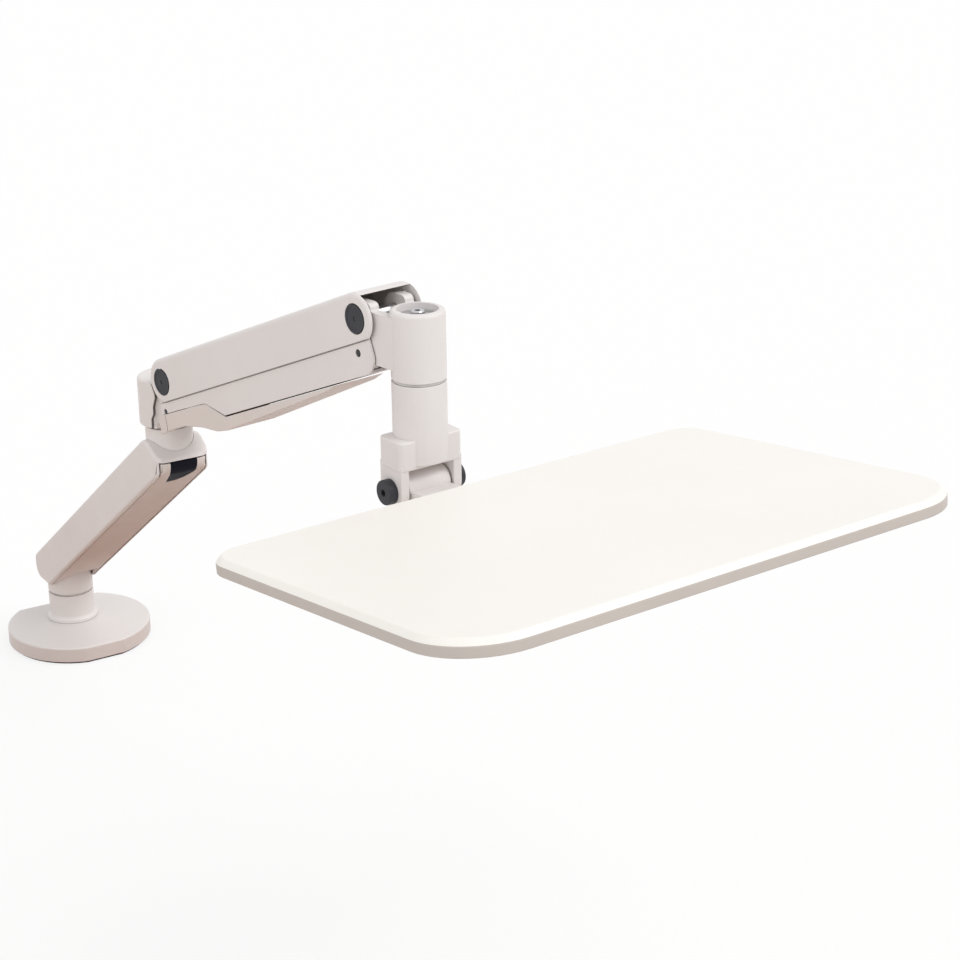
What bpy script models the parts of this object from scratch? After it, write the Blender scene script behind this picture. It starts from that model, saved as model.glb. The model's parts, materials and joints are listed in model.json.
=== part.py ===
"""Laptop arm mount: a bolt-down base, a fixed lower link, a balanced upper arm and a tilting tray.

World frame in metres: the origin is on the base swivel axis at the underside of the foot pad,
+Z is up, +Y points to the back and the tray lies toward -Y.
Sizes below are in millimetres and angles in degrees, unless a name says otherwise.
"""

import math

import bmesh
import bpy
from mathutils import Matrix, Vector

MM = 0.001
FIT = 0.3

# Base
PLATE_RADIUS = 71.9
PLATE_OFFSET = -17.0
PLATE_FRONT = -86.4
PLATE_BACK = 40.5
PLATE_TOP = 17.6
PLATE_EDGE = 1.6
PAD_THICK = 2.0
PAD_INSET = 3.0
BOLT_RADIUS = 4.0
BOLT_HEAD_RADIUS = 7.0
BOLT_HEAD_HEIGHT = 5.0

# Swivel posts
POST_RADIUS = 22.7
FOOT_RADIUS = 25.6
SPINDLE_RADIUS = 13.0
BUSH_WALL = 2.0
WASHER_THICK = 1.6
GROOVE_HEIGHT = 46.2
GROOVE_DEPTH = 1.3
SLEEVE_TOP = 73.7
SCREW_RADIUS = 3.0
SCREW_HEAD_RADIUS = 5.5
SCREW_HEAD_HEIGHT = 4.0
RETAINER_RADIUS = 17.5
RETAINER_THICK = 2.0

# Lower link
LINK_RISE = 34.8
LINK_TOP = 82.0
LINK_UNDER = 43.7
LINK_HALF = 26.0
LINK_WALL = 3.5
LINK_EDGE = 3.0
LINK_REAR = 27.0
LINK_FRONT = -314.0
LINK_BOTTOM = 58.5
LINK_PEAK = -288.0
LINK_SEAM = 281.2
LINK_CORNER = 12.0
LINK_NOSE = 13.0
SOCKET_FRONT = -27.0
COVER_HALF = 22.2
COVER_WALL = 3.0
COVER_FRONT_WALL = 5.0
COVER_START = -9.5
NOTCH_LEFT = -7.0
NOTCH_RIGHT = 19.0
NOTCH_FRONT = -33.0

# Elbow
ELBOW_Y = -284.9
ELBOW_RADIUS = 21.0
ELBOW_BOTTOM = 275.0
ELBOW_TOP = 307.6
KNUCKLE_BOTTOM = ELBOW_TOP + 2.1
KNUCKLE_REAR = 25.2
KNUCKLE_HALF = 25.0
WAIST_HALF = 21.0
WAIST_END = 14.0
FLANGE_HEIGHT = 3.8

# Upper arm
ARM_AZIMUTH = -81.0
ARM_RISE = 22.5
ARM_LENGTH = 300.0
PIVOT_REACH = 34.6
PIVOT_RISE = 49.3
LINK_DROP = 27.3
ARM_HALF = 26.0
ARM_CROWN = 20.0
ARM_SEAM = -17.0
ARM_EDGE = 4.0
ARM_WALL = 2.0
ROOF_WALL = 2.3
LOWER_HALF = 23.7
LOWER_WALL = 2.2
LOWER_TOP = -13.0
CAP_RADIUS = 11.7
PIN_RADIUS = 5.0
STUB_RADIUS = 4.0
STUB_TIP = 2.2
EAR_INNER = 12.5
EAR_OUTER = 20.7
EAR_RADIUS = 13.0

# Gas spring
SPRING_DROP = 20.0
SPRING_REACH = 200.0
SPRING_LEVEL = -1.0
SPRING_PIN = 4.0
EYE_PIN = 3.0
EYE_PLAY = 3.8
EYE_RADIUS = 10.0
CYLINDER_RADIUS = 11.0
CYLINDER_START = 12.0
CYLINDER_END = 128.0
ROD_RADIUS = 4.0

# Head and tray
HEAD_OFFSET = 43.2
HEAD_RADIUS = 21.0
HEAD_RISE = 12.2
HEAD_LENGTH = 53.0
SHAFT_RADIUS = 9.0
TILT_DROP = 85.0
BARREL_RADIUS = 12.0
BARREL_HALF = 19.0
FORK_INNER = 20.6
FORK_OUTER = 28.0
FORK_RADIUS = 14.0
TILT_BOLT = 5.0
TRAY_SHIFT = -4.6
TRAY_GAP = 60.7
TRAY_LEVEL = 10.7
TRAY_YAW = 4.9
TRAY_PITCH = -6.74
TRAY_WIDTH = 440.5
TRAY_DEPTH = 302.0
TRAY_THICK = 12.0
TRAY_EDGE = 4.4
TRAY_FRONT_CORNER = 52.0
TRAY_REAR_CORNER = 26.0
BRACKET_HALF = 45.0
BRACKET_THICK = 4.0
BRACKET_GRIP = 163.0
RIB_HEIGHT = 7.0
SCREW_ROWS = (18.0, 140.0)
SCREW_COLUMN = 32.0
TRAY_SCREW = 2.5
TRAY_SCREW_HEAD = 5.0
TRAY_SCREW_DEPTH = 7.0

ROUND_STEPS = 40
SMALL_STEPS = 20
TINY_STEPS = 14

for old in list(bpy.data.objects):
    bpy.data.objects.remove(old, do_unlink=True)

parts = bpy.data.collections.new("laptop_arm_mount")
cutters = bpy.data.collections.new("cutters")
for group in (parts, cutters):
    bpy.context.scene.collection.children.link(group)


def sin_deg(angle):
    return math.sin(math.radians(angle))


def cos_deg(angle):
    return math.cos(math.radians(angle))


# Frames

def frame(origin, x_axis, y_axis, z_axis):
    """Matrix whose local axes are the given world directions, placed at origin in millimetres."""
    columns = [Vector(x_axis), Vector(y_axis), Vector(z_axis)]
    matrix = Matrix([[columns[c][r] for c in range(3)] for r in range(3)]).to_4x4()
    matrix.translation = Vector(origin) * MM
    return matrix


UP = Vector((0.0, 0.0, 1.0))
FORWARD = Vector((cos_deg(ARM_AZIMUTH), sin_deg(ARM_AZIMUTH), 0.0))
NEAR = FORWARD.cross(UP)
ALONG = FORWARD * cos_deg(ARM_RISE) + UP * sin_deg(ARM_RISE)
ABOVE = NEAR.cross(ALONG)

ELBOW = Vector((0.0, ELBOW_Y, 0.0))
WORLD = Matrix.Identity(4)
SIDE = frame((0, 0, 0), (0, 1, 0), (0, 0, 1), (1, 0, 0))
FRONT_VIEW = frame((0, 0, 0), (1, 0, 0), (0, 0, 1), (0, -1, 0))
ELBOW_PLAN = frame(ELBOW, FORWARD, UP.cross(FORWARD), UP)
ELBOW_SIDE = frame(ELBOW, FORWARD, UP, NEAR)


def elbow_point(reach, height):
    return ELBOW + FORWARD * reach + UP * height


PIVOT_HEIGHT = KNUCKLE_BOTTOM + PIVOT_RISE
KNUCKLE_TOP = PIVOT_HEIGHT - 6.0
SPINDLE_TOP = PIVOT_HEIGHT - 10.0
PIVOT = elbow_point(PIVOT_REACH, PIVOT_HEIGHT)
LOW_PIVOT = PIVOT - UP * LINK_DROP
ARM = frame(PIVOT, ALONG, ABOVE, NEAR)
TIP_REACH = PIVOT_REACH + ARM_LENGTH * cos_deg(ARM_RISE)
TIP_HEIGHT = PIVOT_HEIGHT + ARM_LENGTH * sin_deg(ARM_RISE)
LOW_E1 = -LINK_DROP * sin_deg(ARM_RISE)
HEAD_REACH = TIP_REACH + HEAD_OFFSET
HEAD_TOP = TIP_HEIGHT + HEAD_RISE
HEAD_BOTTOM = HEAD_TOP - HEAD_LENGTH
TILT_HEIGHT = HEAD_BOTTOM - TILT_DROP
HEAD = elbow_point(HEAD_REACH, 0.0)
HEAD_AXIS = frame(HEAD, FORWARD, UP.cross(FORWARD), UP)
TRAY_TURN = Matrix.Rotation(math.radians(TRAY_YAW), 3, "Z") @ Matrix.Rotation(math.radians(TRAY_PITCH), 3, "X")
TRAY_AXES = [Vector(TRAY_TURN.col[i]) for i in range(3)]
TILT_POINT = HEAD + UP * TILT_HEIGHT
TRAY_FACE = TRAY_LEVEL
TRAY_UNDER = TRAY_FACE - TRAY_THICK
TRAY_REAR = -TRAY_GAP
TRAY_CENTRE = (TILT_POINT + TRAY_AXES[0] * TRAY_SHIFT + TRAY_AXES[1] * (TRAY_REAR - TRAY_DEPTH / 2)
               + TRAY_AXES[2] * TRAY_FACE)
TRAY = frame(TRAY_CENTRE, *TRAY_AXES)
TILT = frame(TILT_POINT, *TRAY_AXES)
YAW_X = Vector((cos_deg(TRAY_YAW), sin_deg(TRAY_YAW), 0.0))
FORK = frame(HEAD, YAW_X, UP.cross(YAW_X), UP)
FORK_SIDE = frame(TILT_POINT, UP.cross(YAW_X), UP, YAW_X)
TILT_SIDE = frame(TILT_POINT, TRAY_AXES[1], TRAY_AXES[2], TRAY_AXES[0])

# Materials

def material(name, colour, roughness, metallic):
    shade = bpy.data.materials.new(name)
    shade.use_nodes = True
    shader = shade.node_tree.nodes["Principled BSDF"]
    shader.inputs["Base Color"].default_value = (*colour, 1.0)
    shader.inputs["Roughness"].default_value = roughness
    shader.inputs["Metallic"].default_value = metallic
    shade.diffuse_color = (*colour, 1.0)
    return shade


WHITE_PAINT = ((0.76, 0.72, 0.70), 0.45, 0.0)
PALE_PLASTIC = ((0.70, 0.64, 0.61), 0.5, 0.0)
BLACK_PLASTIC = ((0.02, 0.02, 0.027), 0.4, 0.0)
GREY_PLASTIC = ((0.06, 0.065, 0.075), 0.45, 0.0)
STEEL = ((0.55, 0.55, 0.56), 0.3, 1.0)
RUBBER = ((0.03, 0.03, 0.03), 0.8, 0.0)
NYLON = ((0.30, 0.29, 0.28), 0.55, 0.0)
BOARD = ((0.86, 0.85, 0.82), 0.5, 0.0)


def finish(obj, name, look):
    obj.name = name
    obj.data.name = name
    obj.data.materials.clear()
    obj.data.materials.append(material(name, *look))
    if obj.data.polygons:
        obj.data.shade_smooth()
        obj.data.set_sharp_from_angle(angle=math.radians(30))
    return obj


# Shapes

def fillet(corners, step=12.0):
    """Point list of a closed outline whose corners are (a, b) or (a, b, radius)."""
    points = []
    count = len(corners)
    for i, corner in enumerate(corners):
        here = Vector(corner[:2])
        radius = corner[2] if len(corner) > 2 else 0.0
        if radius <= 0.0:
            points.append(here)
            continue
        before = (Vector(corners[i - 1][:2]) - here).normalized()
        after = (Vector(corners[(i + 1) % count][:2]) - here).normalized()
        half = math.acos(max(-1.0, min(1.0, before.dot(after)))) / 2
        reach = radius / math.tan(half)
        centre = here + (before + after).normalized() * (radius / math.sin(half))
        start = here + before * reach - centre
        sweep = math.pi - 2 * half
        if start.y * before.x - start.x * before.y < 0:
            sweep = -sweep
        pieces = max(2, round(math.degrees(abs(sweep)) / step))
        for k in range(pieces + 1):
            turn = sweep * k / pieces
            points.append(centre + Vector((
                start.x * math.cos(turn) - start.y * math.sin(turn),
                start.x * math.sin(turn) + start.y * math.cos(turn))))
    return [(p.x, p.y) for p in points]


def circle(radius, centre=(0.0, 0.0), steps=ROUND_STEPS):
    return [(centre[0] + radius * math.cos(2 * math.pi * k / steps),
             centre[1] + radius * math.sin(2 * math.pi * k / steps)) for k in range(steps)]


def arc(radius, centre, first, last, steps):
    return [(centre[0] + radius * cos_deg(first + (last - first) * k / steps),
             centre[1] + radius * sin_deg(first + (last - first) * k / steps)) for k in range(steps + 1)]


def plate(loops, low, high, place, group=parts):
    """Flat piece: outlines in the local XY plane, filled and thickened from low to high along local Z."""
    drawing = bpy.data.curves.new("outline", "CURVE")
    drawing.dimensions = "2D"
    drawing.fill_mode = "BOTH"
    drawing.extrude = (high - low) / 2 * MM
    for loop in loops:
        line = drawing.splines.new("POLY")
        line.points.add(len(loop) - 1)
        for point, (a, b) in zip(line.points, loop):
            point.co = (a * MM, b * MM, 0.0, 1.0)
        line.use_cyclic_u = True
    sketch = bpy.data.objects.new("outline", drawing)
    sketch.matrix_world = place @ Matrix.Translation((0, 0, (low + high) / 2 * MM))
    group.objects.link(sketch)
    bpy.context.view_layer.update()
    solid = bpy.data.meshes.new_from_object(sketch.evaluated_get(bpy.context.evaluated_depsgraph_get()))
    body = bmesh.new()
    body.from_mesh(solid)
    bmesh.ops.remove_doubles(body, verts=body.verts, dist=0.000005)
    bmesh.ops.recalc_face_normals(body, faces=body.faces)
    body.to_mesh(solid)
    body.free()
    piece = bpy.data.objects.new("plate", solid)
    piece.matrix_world = sketch.matrix_world
    group.objects.link(piece)
    bpy.data.objects.remove(sketch, do_unlink=True)
    return piece


def turned(profile, place, steps=ROUND_STEPS, group=parts, closed=False):
    """Turned piece: (radius, height) points from top to bottom, spun about local Z."""
    outline = bpy.data.meshes.new("turned")
    rows = [(r * MM, 0.0, z * MM) for r, z in profile]
    links = [(i, i + 1) for i in range(len(rows) - 1)]
    if closed:
        links.append((len(rows) - 1, 0))
    outline.from_pydata(rows, links, [])
    piece = bpy.data.objects.new("turned", outline)
    piece.matrix_world = place
    group.objects.link(piece)
    spin = piece.modifiers.new("Spin", "SCREW")
    spin.axis = "Z"
    spin.steps = steps
    spin.render_steps = steps
    spin.use_merge_vertices = True
    spin.merge_threshold = 0.00001
    spin.use_smooth_shade = True
    return piece


def disc(radius, low, high, place, steps=ROUND_STEPS, group=parts, edge=0.0):
    if edge > 0.0:
        profile = [(0, high), (radius - edge, high), (radius, high - edge), (radius, low + edge),
                   (radius - edge, low), (0, low)]
    else:
        profile = [(0, high), (radius, high), (radius, low), (0, low)]
    return turned(profile, place, steps, group)


def tube(outer, inner, low, high, place, steps=ROUND_STEPS, edge=0.0):
    profile = [(inner, high), (outer - edge, high), (outer, high - edge), (outer, low + edge),
               (outer - edge, low), (inner, low)]
    if edge <= 0.0:
        profile = [(inner, high), (outer, high), (outer, low), (inner, low)]
    return turned(profile, place, steps, closed=True)


def screw(place, head_radius, head_low, head_high, shank_radius, shank_end, socket):
    """Socket-head screw along local Z with its head on top; returns the piece with a hexagonal socket."""
    edge = 0.6
    piece = turned([(0, head_high), (head_radius - edge, head_high), (head_radius, head_high - edge),
                    (head_radius, head_low), (shank_radius, head_low), (shank_radius, shank_end),
                    (0, shank_end)], place, TINY_STEPS)
    depth = (head_high - head_low) * 0.6
    cut(piece, plate([circle(socket, steps=6)], head_high - depth, head_high + 1.0, place, cutters))
    return piece


def combine(piece, tool, operation):
    step = piece.modifiers.new("Shape", "BOOLEAN")
    step.operation = operation
    step.solver = "EXACT"
    step.object = tool
    if tool.name not in cutters.objects:
        cutters.objects.link(tool)
        parts.objects.unlink(tool)
    tool.hide_render = True
    tool.display_type = "WIRE"
    tool.parent = piece
    tool.matrix_parent_inverse = piece.matrix_world.inverted()
    return piece


def cut(piece, tool):
    return combine(piece, tool, "DIFFERENCE")


def add(piece, tool):
    return combine(piece, tool, "UNION")


def common(piece, tool):
    return combine(piece, tool, "INTERSECT")


def soften(piece, width, segments=3):
    step = piece.modifiers.new("Edge", "BEVEL")
    step.width = width * MM
    step.segments = segments
    step.limit_method = "ANGLE"
    step.angle_limit = math.radians(35)
    step.use_clamp_overlap = False
    return piece


def bore(piece, radius, low, high, place, steps=SMALL_STEPS):
    return cut(piece, disc(radius, low, high, place, steps, cutters))


# Base

def clipped_circle(inset):
    radius = PLATE_RADIUS - inset
    front = PLATE_FRONT + inset - PLATE_OFFSET
    back = PLATE_BACK - inset - PLATE_OFFSET
    low = math.degrees(math.asin(front / radius))
    high = math.degrees(math.asin(back / radius))
    right = arc(radius, (0.0, PLATE_OFFSET), low, high, 18)
    return right + [(-x, y) for x, y in reversed(right)]


pad = plate([clipped_circle(PAD_INSET)], 0.0, PAD_THICK, WORLD)
finish(pad, "base_pad", RUBBER)

plate_low = PAD_THICK + FIT
base = soften(plate([clipped_circle(0.0)], plate_low, PLATE_TOP, WORLD), PLATE_EDGE, 2)
head_room = plate_low + BOLT_HEAD_HEIGHT + 1.0
bore(base, BOLT_HEAD_RADIUS + 1.0, plate_low - 5, head_room, WORLD)
bore(base, BOLT_RADIUS + FIT, head_room - 1, PLATE_TOP + 5, WORLD)
finish(base, "base_plate", WHITE_PAINT)

FLIP = Matrix.Rotation(math.pi, 4, "X")
bolt = screw(FLIP, BOLT_HEAD_RADIUS, -head_room + FIT, -head_room + FIT + BOLT_HEAD_HEIGHT, BOLT_RADIUS,
             -38.0, 3.2)
finish(bolt, "base_bolt", STEEL)

post_low = PLATE_TOP + FIT
bush_inner = SPINDLE_RADIUS + FIT
bush_outer = bush_inner + BUSH_WALL
collar = turned([(bush_inner, GROOVE_HEIGHT), (POST_RADIUS - 0.6, GROOVE_HEIGHT),
                 (POST_RADIUS, GROOVE_HEIGHT - 0.6), (POST_RADIUS, post_low + 6.0),
                 (POST_RADIUS + 0.5, post_low + 4.2), (POST_RADIUS + 1.6, post_low + 3.0),
                 (FOOT_RADIUS - 0.4, post_low + 2.4), (FOOT_RADIUS, post_low + 1.8),
                 (FOOT_RADIUS, post_low), (bush_inner, post_low)], WORLD, closed=True)
finish(collar, "base_collar", WHITE_PAINT)

washer_low = GROOVE_HEIGHT + FIT
washer_high = washer_low + WASHER_THICK
finish(tube(POST_RADIUS - GROOVE_DEPTH, bush_inner, washer_low, washer_high, WORLD),
       "base_thrust_washer", NYLON)

spindle_top = SLEEVE_TOP + FIT
spindle = turned([(0, spindle_top), (SPINDLE_RADIUS - 1, spindle_top), (SPINDLE_RADIUS, spindle_top - 1),
                  (SPINDLE_RADIUS, post_low), (0, post_low)], WORLD)
bore(spindle, BOLT_RADIUS + FIT, post_low - 5, 40.0, WORLD)
bore(spindle, SCREW_RADIUS + FIT, 55.0, spindle_top + 5, WORLD)
finish(spindle, "base_spindle", STEEL)

sleeve_low = washer_high + FIT
finish(tube(bush_outer, bush_inner, sleeve_low, SLEEVE_TOP - 0.5, WORLD), "base_bush", NYLON)
finish(tube(POST_RADIUS, bush_outer + FIT, sleeve_low, SLEEVE_TOP, WORLD, edge=0.6), "base_sleeve",
       WHITE_PAINT)

retainer_low = spindle_top + FIT
retainer_high = retainer_low + RETAINER_THICK
finish(tube(RETAINER_RADIUS, SCREW_RADIUS + FIT, retainer_low, retainer_high, WORLD, SMALL_STEPS),
       "base_retainer", STEEL)
finish(screw(WORLD, SCREW_HEAD_RADIUS, retainer_high + FIT, retainer_high + FIT + SCREW_HEAD_HEIGHT,
             SCREW_RADIUS, 58.0, 2.4), "base_retainer_screw", STEEL)

# Lower link

def link_level(offset, y):
    """Height of the line that runs parallel to the link at the given offset."""
    return (offset - y * sin_deg(LINK_RISE)) / cos_deg(LINK_RISE)


link_outline = fillet([
    (LINK_REAR, LINK_BOTTOM, 13.0),
    (-(LINK_BOTTOM * cos_deg(LINK_RISE) - LINK_UNDER) / sin_deg(LINK_RISE), LINK_BOTTOM, 8.0),
    (LINK_FRONT, link_level(LINK_UNDER, LINK_FRONT), LINK_NOSE),
    (LINK_FRONT, LINK_SEAM + 1.5, 7.0),
    (LINK_PEAK, link_level(LINK_TOP, LINK_PEAK), 18.0),
    (LINK_REAR, link_level(LINK_TOP, LINK_REAR), 8.0)])
plan_half = LINK_HALF + 0.06
LINK_SPAN = (0.0, PIVOT_HEIGHT + 40.0)
link_plan = fillet([(-plan_half, LINK_REAR + 5), (-plan_half, LINK_FRONT, LINK_CORNER),
                    (plan_half, LINK_FRONT, LINK_CORNER), (plan_half, LINK_REAR + 5)])


def link_body():
    body = soften(plate([link_outline], -LINK_HALF, LINK_HALF, SIDE), LINK_EDGE)
    return common(body, plate([link_plan], *LINK_SPAN, WORLD, cutters))


room = COVER_HALF + FIT
casting = link_body()
cavity = fillet([
    (SOCKET_FRONT, 30.0), (SOCKET_FRONT, link_level(LINK_TOP - LINK_WALL, SOCKET_FRONT), 4.0),
    (LINK_PEAK + 1.0, link_level(LINK_TOP - LINK_WALL, LINK_PEAK + 1.0), 15.0),
    (LINK_FRONT + 4.0, LINK_SEAM + FIT), (LINK_FRONT - 10.0, LINK_SEAM + FIT), (LINK_FRONT - 10.0, 200.0)])
cut(casting, plate([cavity], -room, room, SIDE, cutters))
recess_roof = LINK_UNDER + COVER_WALL + FIT
recess = [(COVER_START + FIT, 40.0), (COVER_START + FIT, link_level(recess_roof, COVER_START + FIT)),
          (SOCKET_FRONT - 1, link_level(recess_roof, SOCKET_FRONT - 1)), (SOCKET_FRONT - 1, 40.0)]
cut(casting, plate([recess], -room, room, SIDE, cutters))
bore(casting, POST_RADIUS + FIT, 30.0, SLEEVE_TOP + FIT, WORLD, ROUND_STEPS)
bore(casting, RETAINER_RADIUS + 1.0, SLEEVE_TOP - 2, retainer_high + SCREW_HEAD_HEIGHT + 1.5, WORLD)
ELBOW_AXIS = frame(ELBOW, (1, 0, 0), (0, 1, 0), (0, 0, 1))
boss_front = LINK_FRONT + COVER_FRONT_WALL + 1.7 - ELBOW_Y
boss_angle = math.degrees(math.asin(-boss_front / (ELBOW_RADIUS + 3.5)))
boss = arc(ELBOW_RADIUS + 3.5, (0.0, 0.0), -boss_angle, 180.0 + boss_angle, 28)
add(casting, plate([boss], ELBOW_BOTTOM, LINK_SEAM + 6.0, ELBOW_AXIS, cutters))
bore(casting, ELBOW_RADIUS + FIT, ELBOW_BOTTOM - 20, 340.0, ELBOW_AXIS, ROUND_STEPS)
finish(casting, "lower_link_casting", WHITE_PAINT)

cover_outline = fillet([
    (COVER_START, link_level(LINK_UNDER, COVER_START)),
    (LINK_FRONT, link_level(LINK_UNDER, LINK_FRONT), LINK_NOSE),
    (LINK_FRONT, LINK_SEAM), (LINK_FRONT + COVER_FRONT_WALL, LINK_SEAM),
    (LINK_FRONT + COVER_FRONT_WALL, link_level(LINK_UNDER + COVER_WALL, LINK_FRONT + COVER_FRONT_WALL), 14.0),
    (COVER_START, link_level(LINK_UNDER + COVER_WALL, COVER_START))])
cover = plate([cover_outline], -COVER_HALF, COVER_HALF, SIDE)
common(cover, plate([link_plan], *LINK_SPAN, WORLD, cutters))
bore(cover, POST_RADIUS + 2 * FIT, 30.0, 120.0, WORLD, ROUND_STEPS)
notch = fillet([(NOTCH_LEFT, -5.0), (NOTCH_LEFT, NOTCH_FRONT, 3.0), (NOTCH_RIGHT, NOTCH_FRONT, 3.0),
                (NOTCH_RIGHT, -5.0)])
cut(cover, plate([notch], 30.0, 120.0, WORLD, cutters))


def port_outline(grow):
    """Cable port seen from the front: straight sides, a foot drawn out to the left, a round corner right."""
    return [(-13.0 - grow, LINK_SEAM + 3.0), (-13.2 - grow, 276.0), (-13.9 - grow, 271.5),
            (-15.2 - grow, 267.6), (-17.4 - 2 * grow, 262.7 - grow), (-9.0, 263.1 - grow),
            (1.7, 264.1 - grow), (6.0, 265.1 - grow), (8.8 + grow * 0.7, 267.0 - grow * 0.7),
            (11.0 + grow, 270.3), (12.0 + grow, 275.0), (12.2 + grow, LINK_SEAM + 3.0)]


port_front = -LINK_FRONT + 10.0
port_back = -LINK_FRONT - 25.0
cut(cover, plate([port_outline(FIT)], port_back, port_front, FRONT_VIEW, cutters))
finish(cover, "lower_link_cover", PALE_PLASTIC)

port = plate([cover_outline], -18.0, 13.0, SIDE)
common(port, plate([port_outline(0.0)], port_back + 1, port_front + 1, FRONT_VIEW, cutters))
finish(port, "cable_port_plug", BLACK_PLASTIC)

# Elbow

post = tube(ELBOW_RADIUS, bush_outer + FIT, ELBOW_BOTTOM, ELBOW_TOP, ELBOW_AXIS, edge=0.6)
finish(post, "elbow_post", WHITE_PAINT)
finish(tube(bush_outer, bush_inner, ELBOW_BOTTOM + 0.5, ELBOW_TOP - 0.3, ELBOW_AXIS), "elbow_bush", NYLON)
finish(tube(ELBOW_RADIUS - 0.9, bush_inner, ELBOW_TOP + FIT, KNUCKLE_BOTTOM - FIT, ELBOW_AXIS),
       "elbow_thrust_washer", NYLON)
pin_low = ELBOW_BOTTOM - FIT
elbow_spindle = turned([(0, SPINDLE_TOP), (SPINDLE_RADIUS - 1, SPINDLE_TOP), (SPINDLE_RADIUS, SPINDLE_TOP - 1),
                        (SPINDLE_RADIUS, pin_low), (0, pin_low)], ELBOW_AXIS)
bore(elbow_spindle, SCREW_RADIUS + FIT, pin_low - 5, pin_low + 18, ELBOW_AXIS)
finish(elbow_spindle, "elbow_spindle", STEEL)
hold_high = pin_low - FIT
hold_low = hold_high - RETAINER_THICK
finish(tube(RETAINER_RADIUS, SCREW_RADIUS + FIT, hold_low, hold_high, ELBOW_AXIS, SMALL_STEPS),
       "elbow_retainer", STEEL)
UNDER_ELBOW = ELBOW_AXIS @ FLIP
finish(screw(UNDER_ELBOW, SCREW_HEAD_RADIUS, -hold_low + FIT, -hold_low + FIT + SCREW_HEAD_HEIGHT, SCREW_RADIUS,
             -pin_low - 15, 2.4), "elbow_retainer_screw", STEEL)

# Rear knuckle

waist = [(7.0, KNUCKLE_HALF), (8.0, 24.3), (9.2, 23.1), (10.2, 22.0), (11.2, 21.3), (12.5, WAIST_HALF),
         (WAIST_END, WAIST_HALF)]
rear_angle = math.degrees(math.asin(KNUCKLE_HALF / KNUCKLE_REAR))
rear_arc = arc(KNUCKLE_REAR, (0.0, 0.0), 180.0 - rear_angle, 180.0 + rear_angle, 18)
knuckle_plan = list(reversed(waist)) + rear_arc + [(u, -v) for u, v in waist]
knuckle = soften(plate([knuckle_plan], KNUCKLE_BOTTOM, KNUCKLE_TOP, ELBOW_PLAN), 2.0, 2)
rear_ear = fillet([
    (6.0, KNUCKLE_BOTTOM + 4.0), (24.0, PIVOT_HEIGHT - LINK_DROP - EAR_RADIUS, 4.0),
    (PIVOT_REACH + EAR_RADIUS, PIVOT_HEIGHT - LINK_DROP - EAR_RADIUS, EAR_RADIUS),
    (PIVOT_REACH + EAR_RADIUS, PIVOT_HEIGHT + EAR_RADIUS, EAR_RADIUS),
    (PIVOT_REACH - EAR_RADIUS, PIVOT_HEIGHT + EAR_RADIUS, EAR_RADIUS),
    (PIVOT_REACH - EAR_RADIUS, KNUCKLE_TOP - 4.0, 2.0), (6.0, KNUCKLE_TOP - 4.0)])
for low in (EAR_INNER, -EAR_OUTER):
    add(knuckle, plate([rear_ear], low, low + EAR_OUTER - EAR_INNER, ELBOW_SIDE, cutters))
add(knuckle, disc(ELBOW_RADIUS, KNUCKLE_BOTTOM + 0.001, KNUCKLE_BOTTOM + FLANGE_HEIGHT, ELBOW_AXIS, ROUND_STEPS, cutters))
bore(knuckle, SPINDLE_RADIUS + FIT, KNUCKLE_BOTTOM - 10, SPINDLE_TOP + FIT, ELBOW_AXIS, ROUND_STEPS)


def across(reach, height):
    """Frame whose local Z runs across the arm at a point of the elbow's side view."""
    return frame(elbow_point(reach, height), FORWARD, UP, NEAR)


REAR_TOP = across(PIVOT_REACH, PIVOT_HEIGHT)
REAR_LOW = across(PIVOT_REACH, PIVOT_HEIGHT - LINK_DROP)
SPRING_REAR = across(PIVOT_REACH, PIVOT_HEIGHT - SPRING_DROP)
FRONT_TOP = across(TIP_REACH, TIP_HEIGHT)
FRONT_LOW = across(TIP_REACH, TIP_HEIGHT - LINK_DROP)
for place, radius in ((REAR_TOP, PIN_RADIUS), (REAR_LOW, STUB_RADIUS), (SPRING_REAR, EYE_PIN)):
    bore(knuckle, radius + FIT, -40.0, 40.0, place)
finish(knuckle, "rear_knuckle", WHITE_PAINT)

# Pivot pins and caps

for end, top_place, low_place in (("rear", REAR_TOP, REAR_LOW), ("front", FRONT_TOP, FRONT_LOW)):
    pin_end = ARM_HALF - 1.2
    finish(disc(PIN_RADIUS, -pin_end, pin_end, top_place, SMALL_STEPS, edge=0.5), end + "_pivot_pin", STEEL)
    for side, flip in (("near", Matrix.Identity(4)), ("far", FLIP)):
        cap_place = top_place @ flip
        cap = turned([(0, ARM_HALF), (CAP_RADIUS - 1.6, ARM_HALF), (CAP_RADIUS - 1.3, ARM_HALF + 0.5),
                      (CAP_RADIUS, ARM_HALF + 0.3), (CAP_RADIUS, ARM_HALF - ARM_WALL + 0.2),
                      (PIN_RADIUS + FIT, ARM_HALF - ARM_WALL + 0.2), (PIN_RADIUS + FIT, pin_end + FIT),
                      (0, pin_end + FIT)], cap_place, 32)
        cut(cap, plate([circle(2.0, steps=6)], ARM_HALF - 0.4, ARM_HALF + 2, cap_place, cutters))
        finish(cap, "{}_pivot_cap_{}".format(end, side), GREY_PLASTIC)
        stub_place = low_place @ flip
        stub = turned([(0, LOWER_HALF - 0.2), (STUB_TIP, LOWER_HALF - 0.2), (STUB_TIP, EAR_OUTER + 0.2),
                       (STUB_RADIUS, EAR_OUTER + 0.2), (STUB_RADIUS, EAR_INNER + 0.5), (0, EAR_INNER + 0.5)],
                      stub_place, SMALL_STEPS)
        finish(stub, "{}_link_pin_{}".format(end, side), STEEL)

# Upper shell

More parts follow.
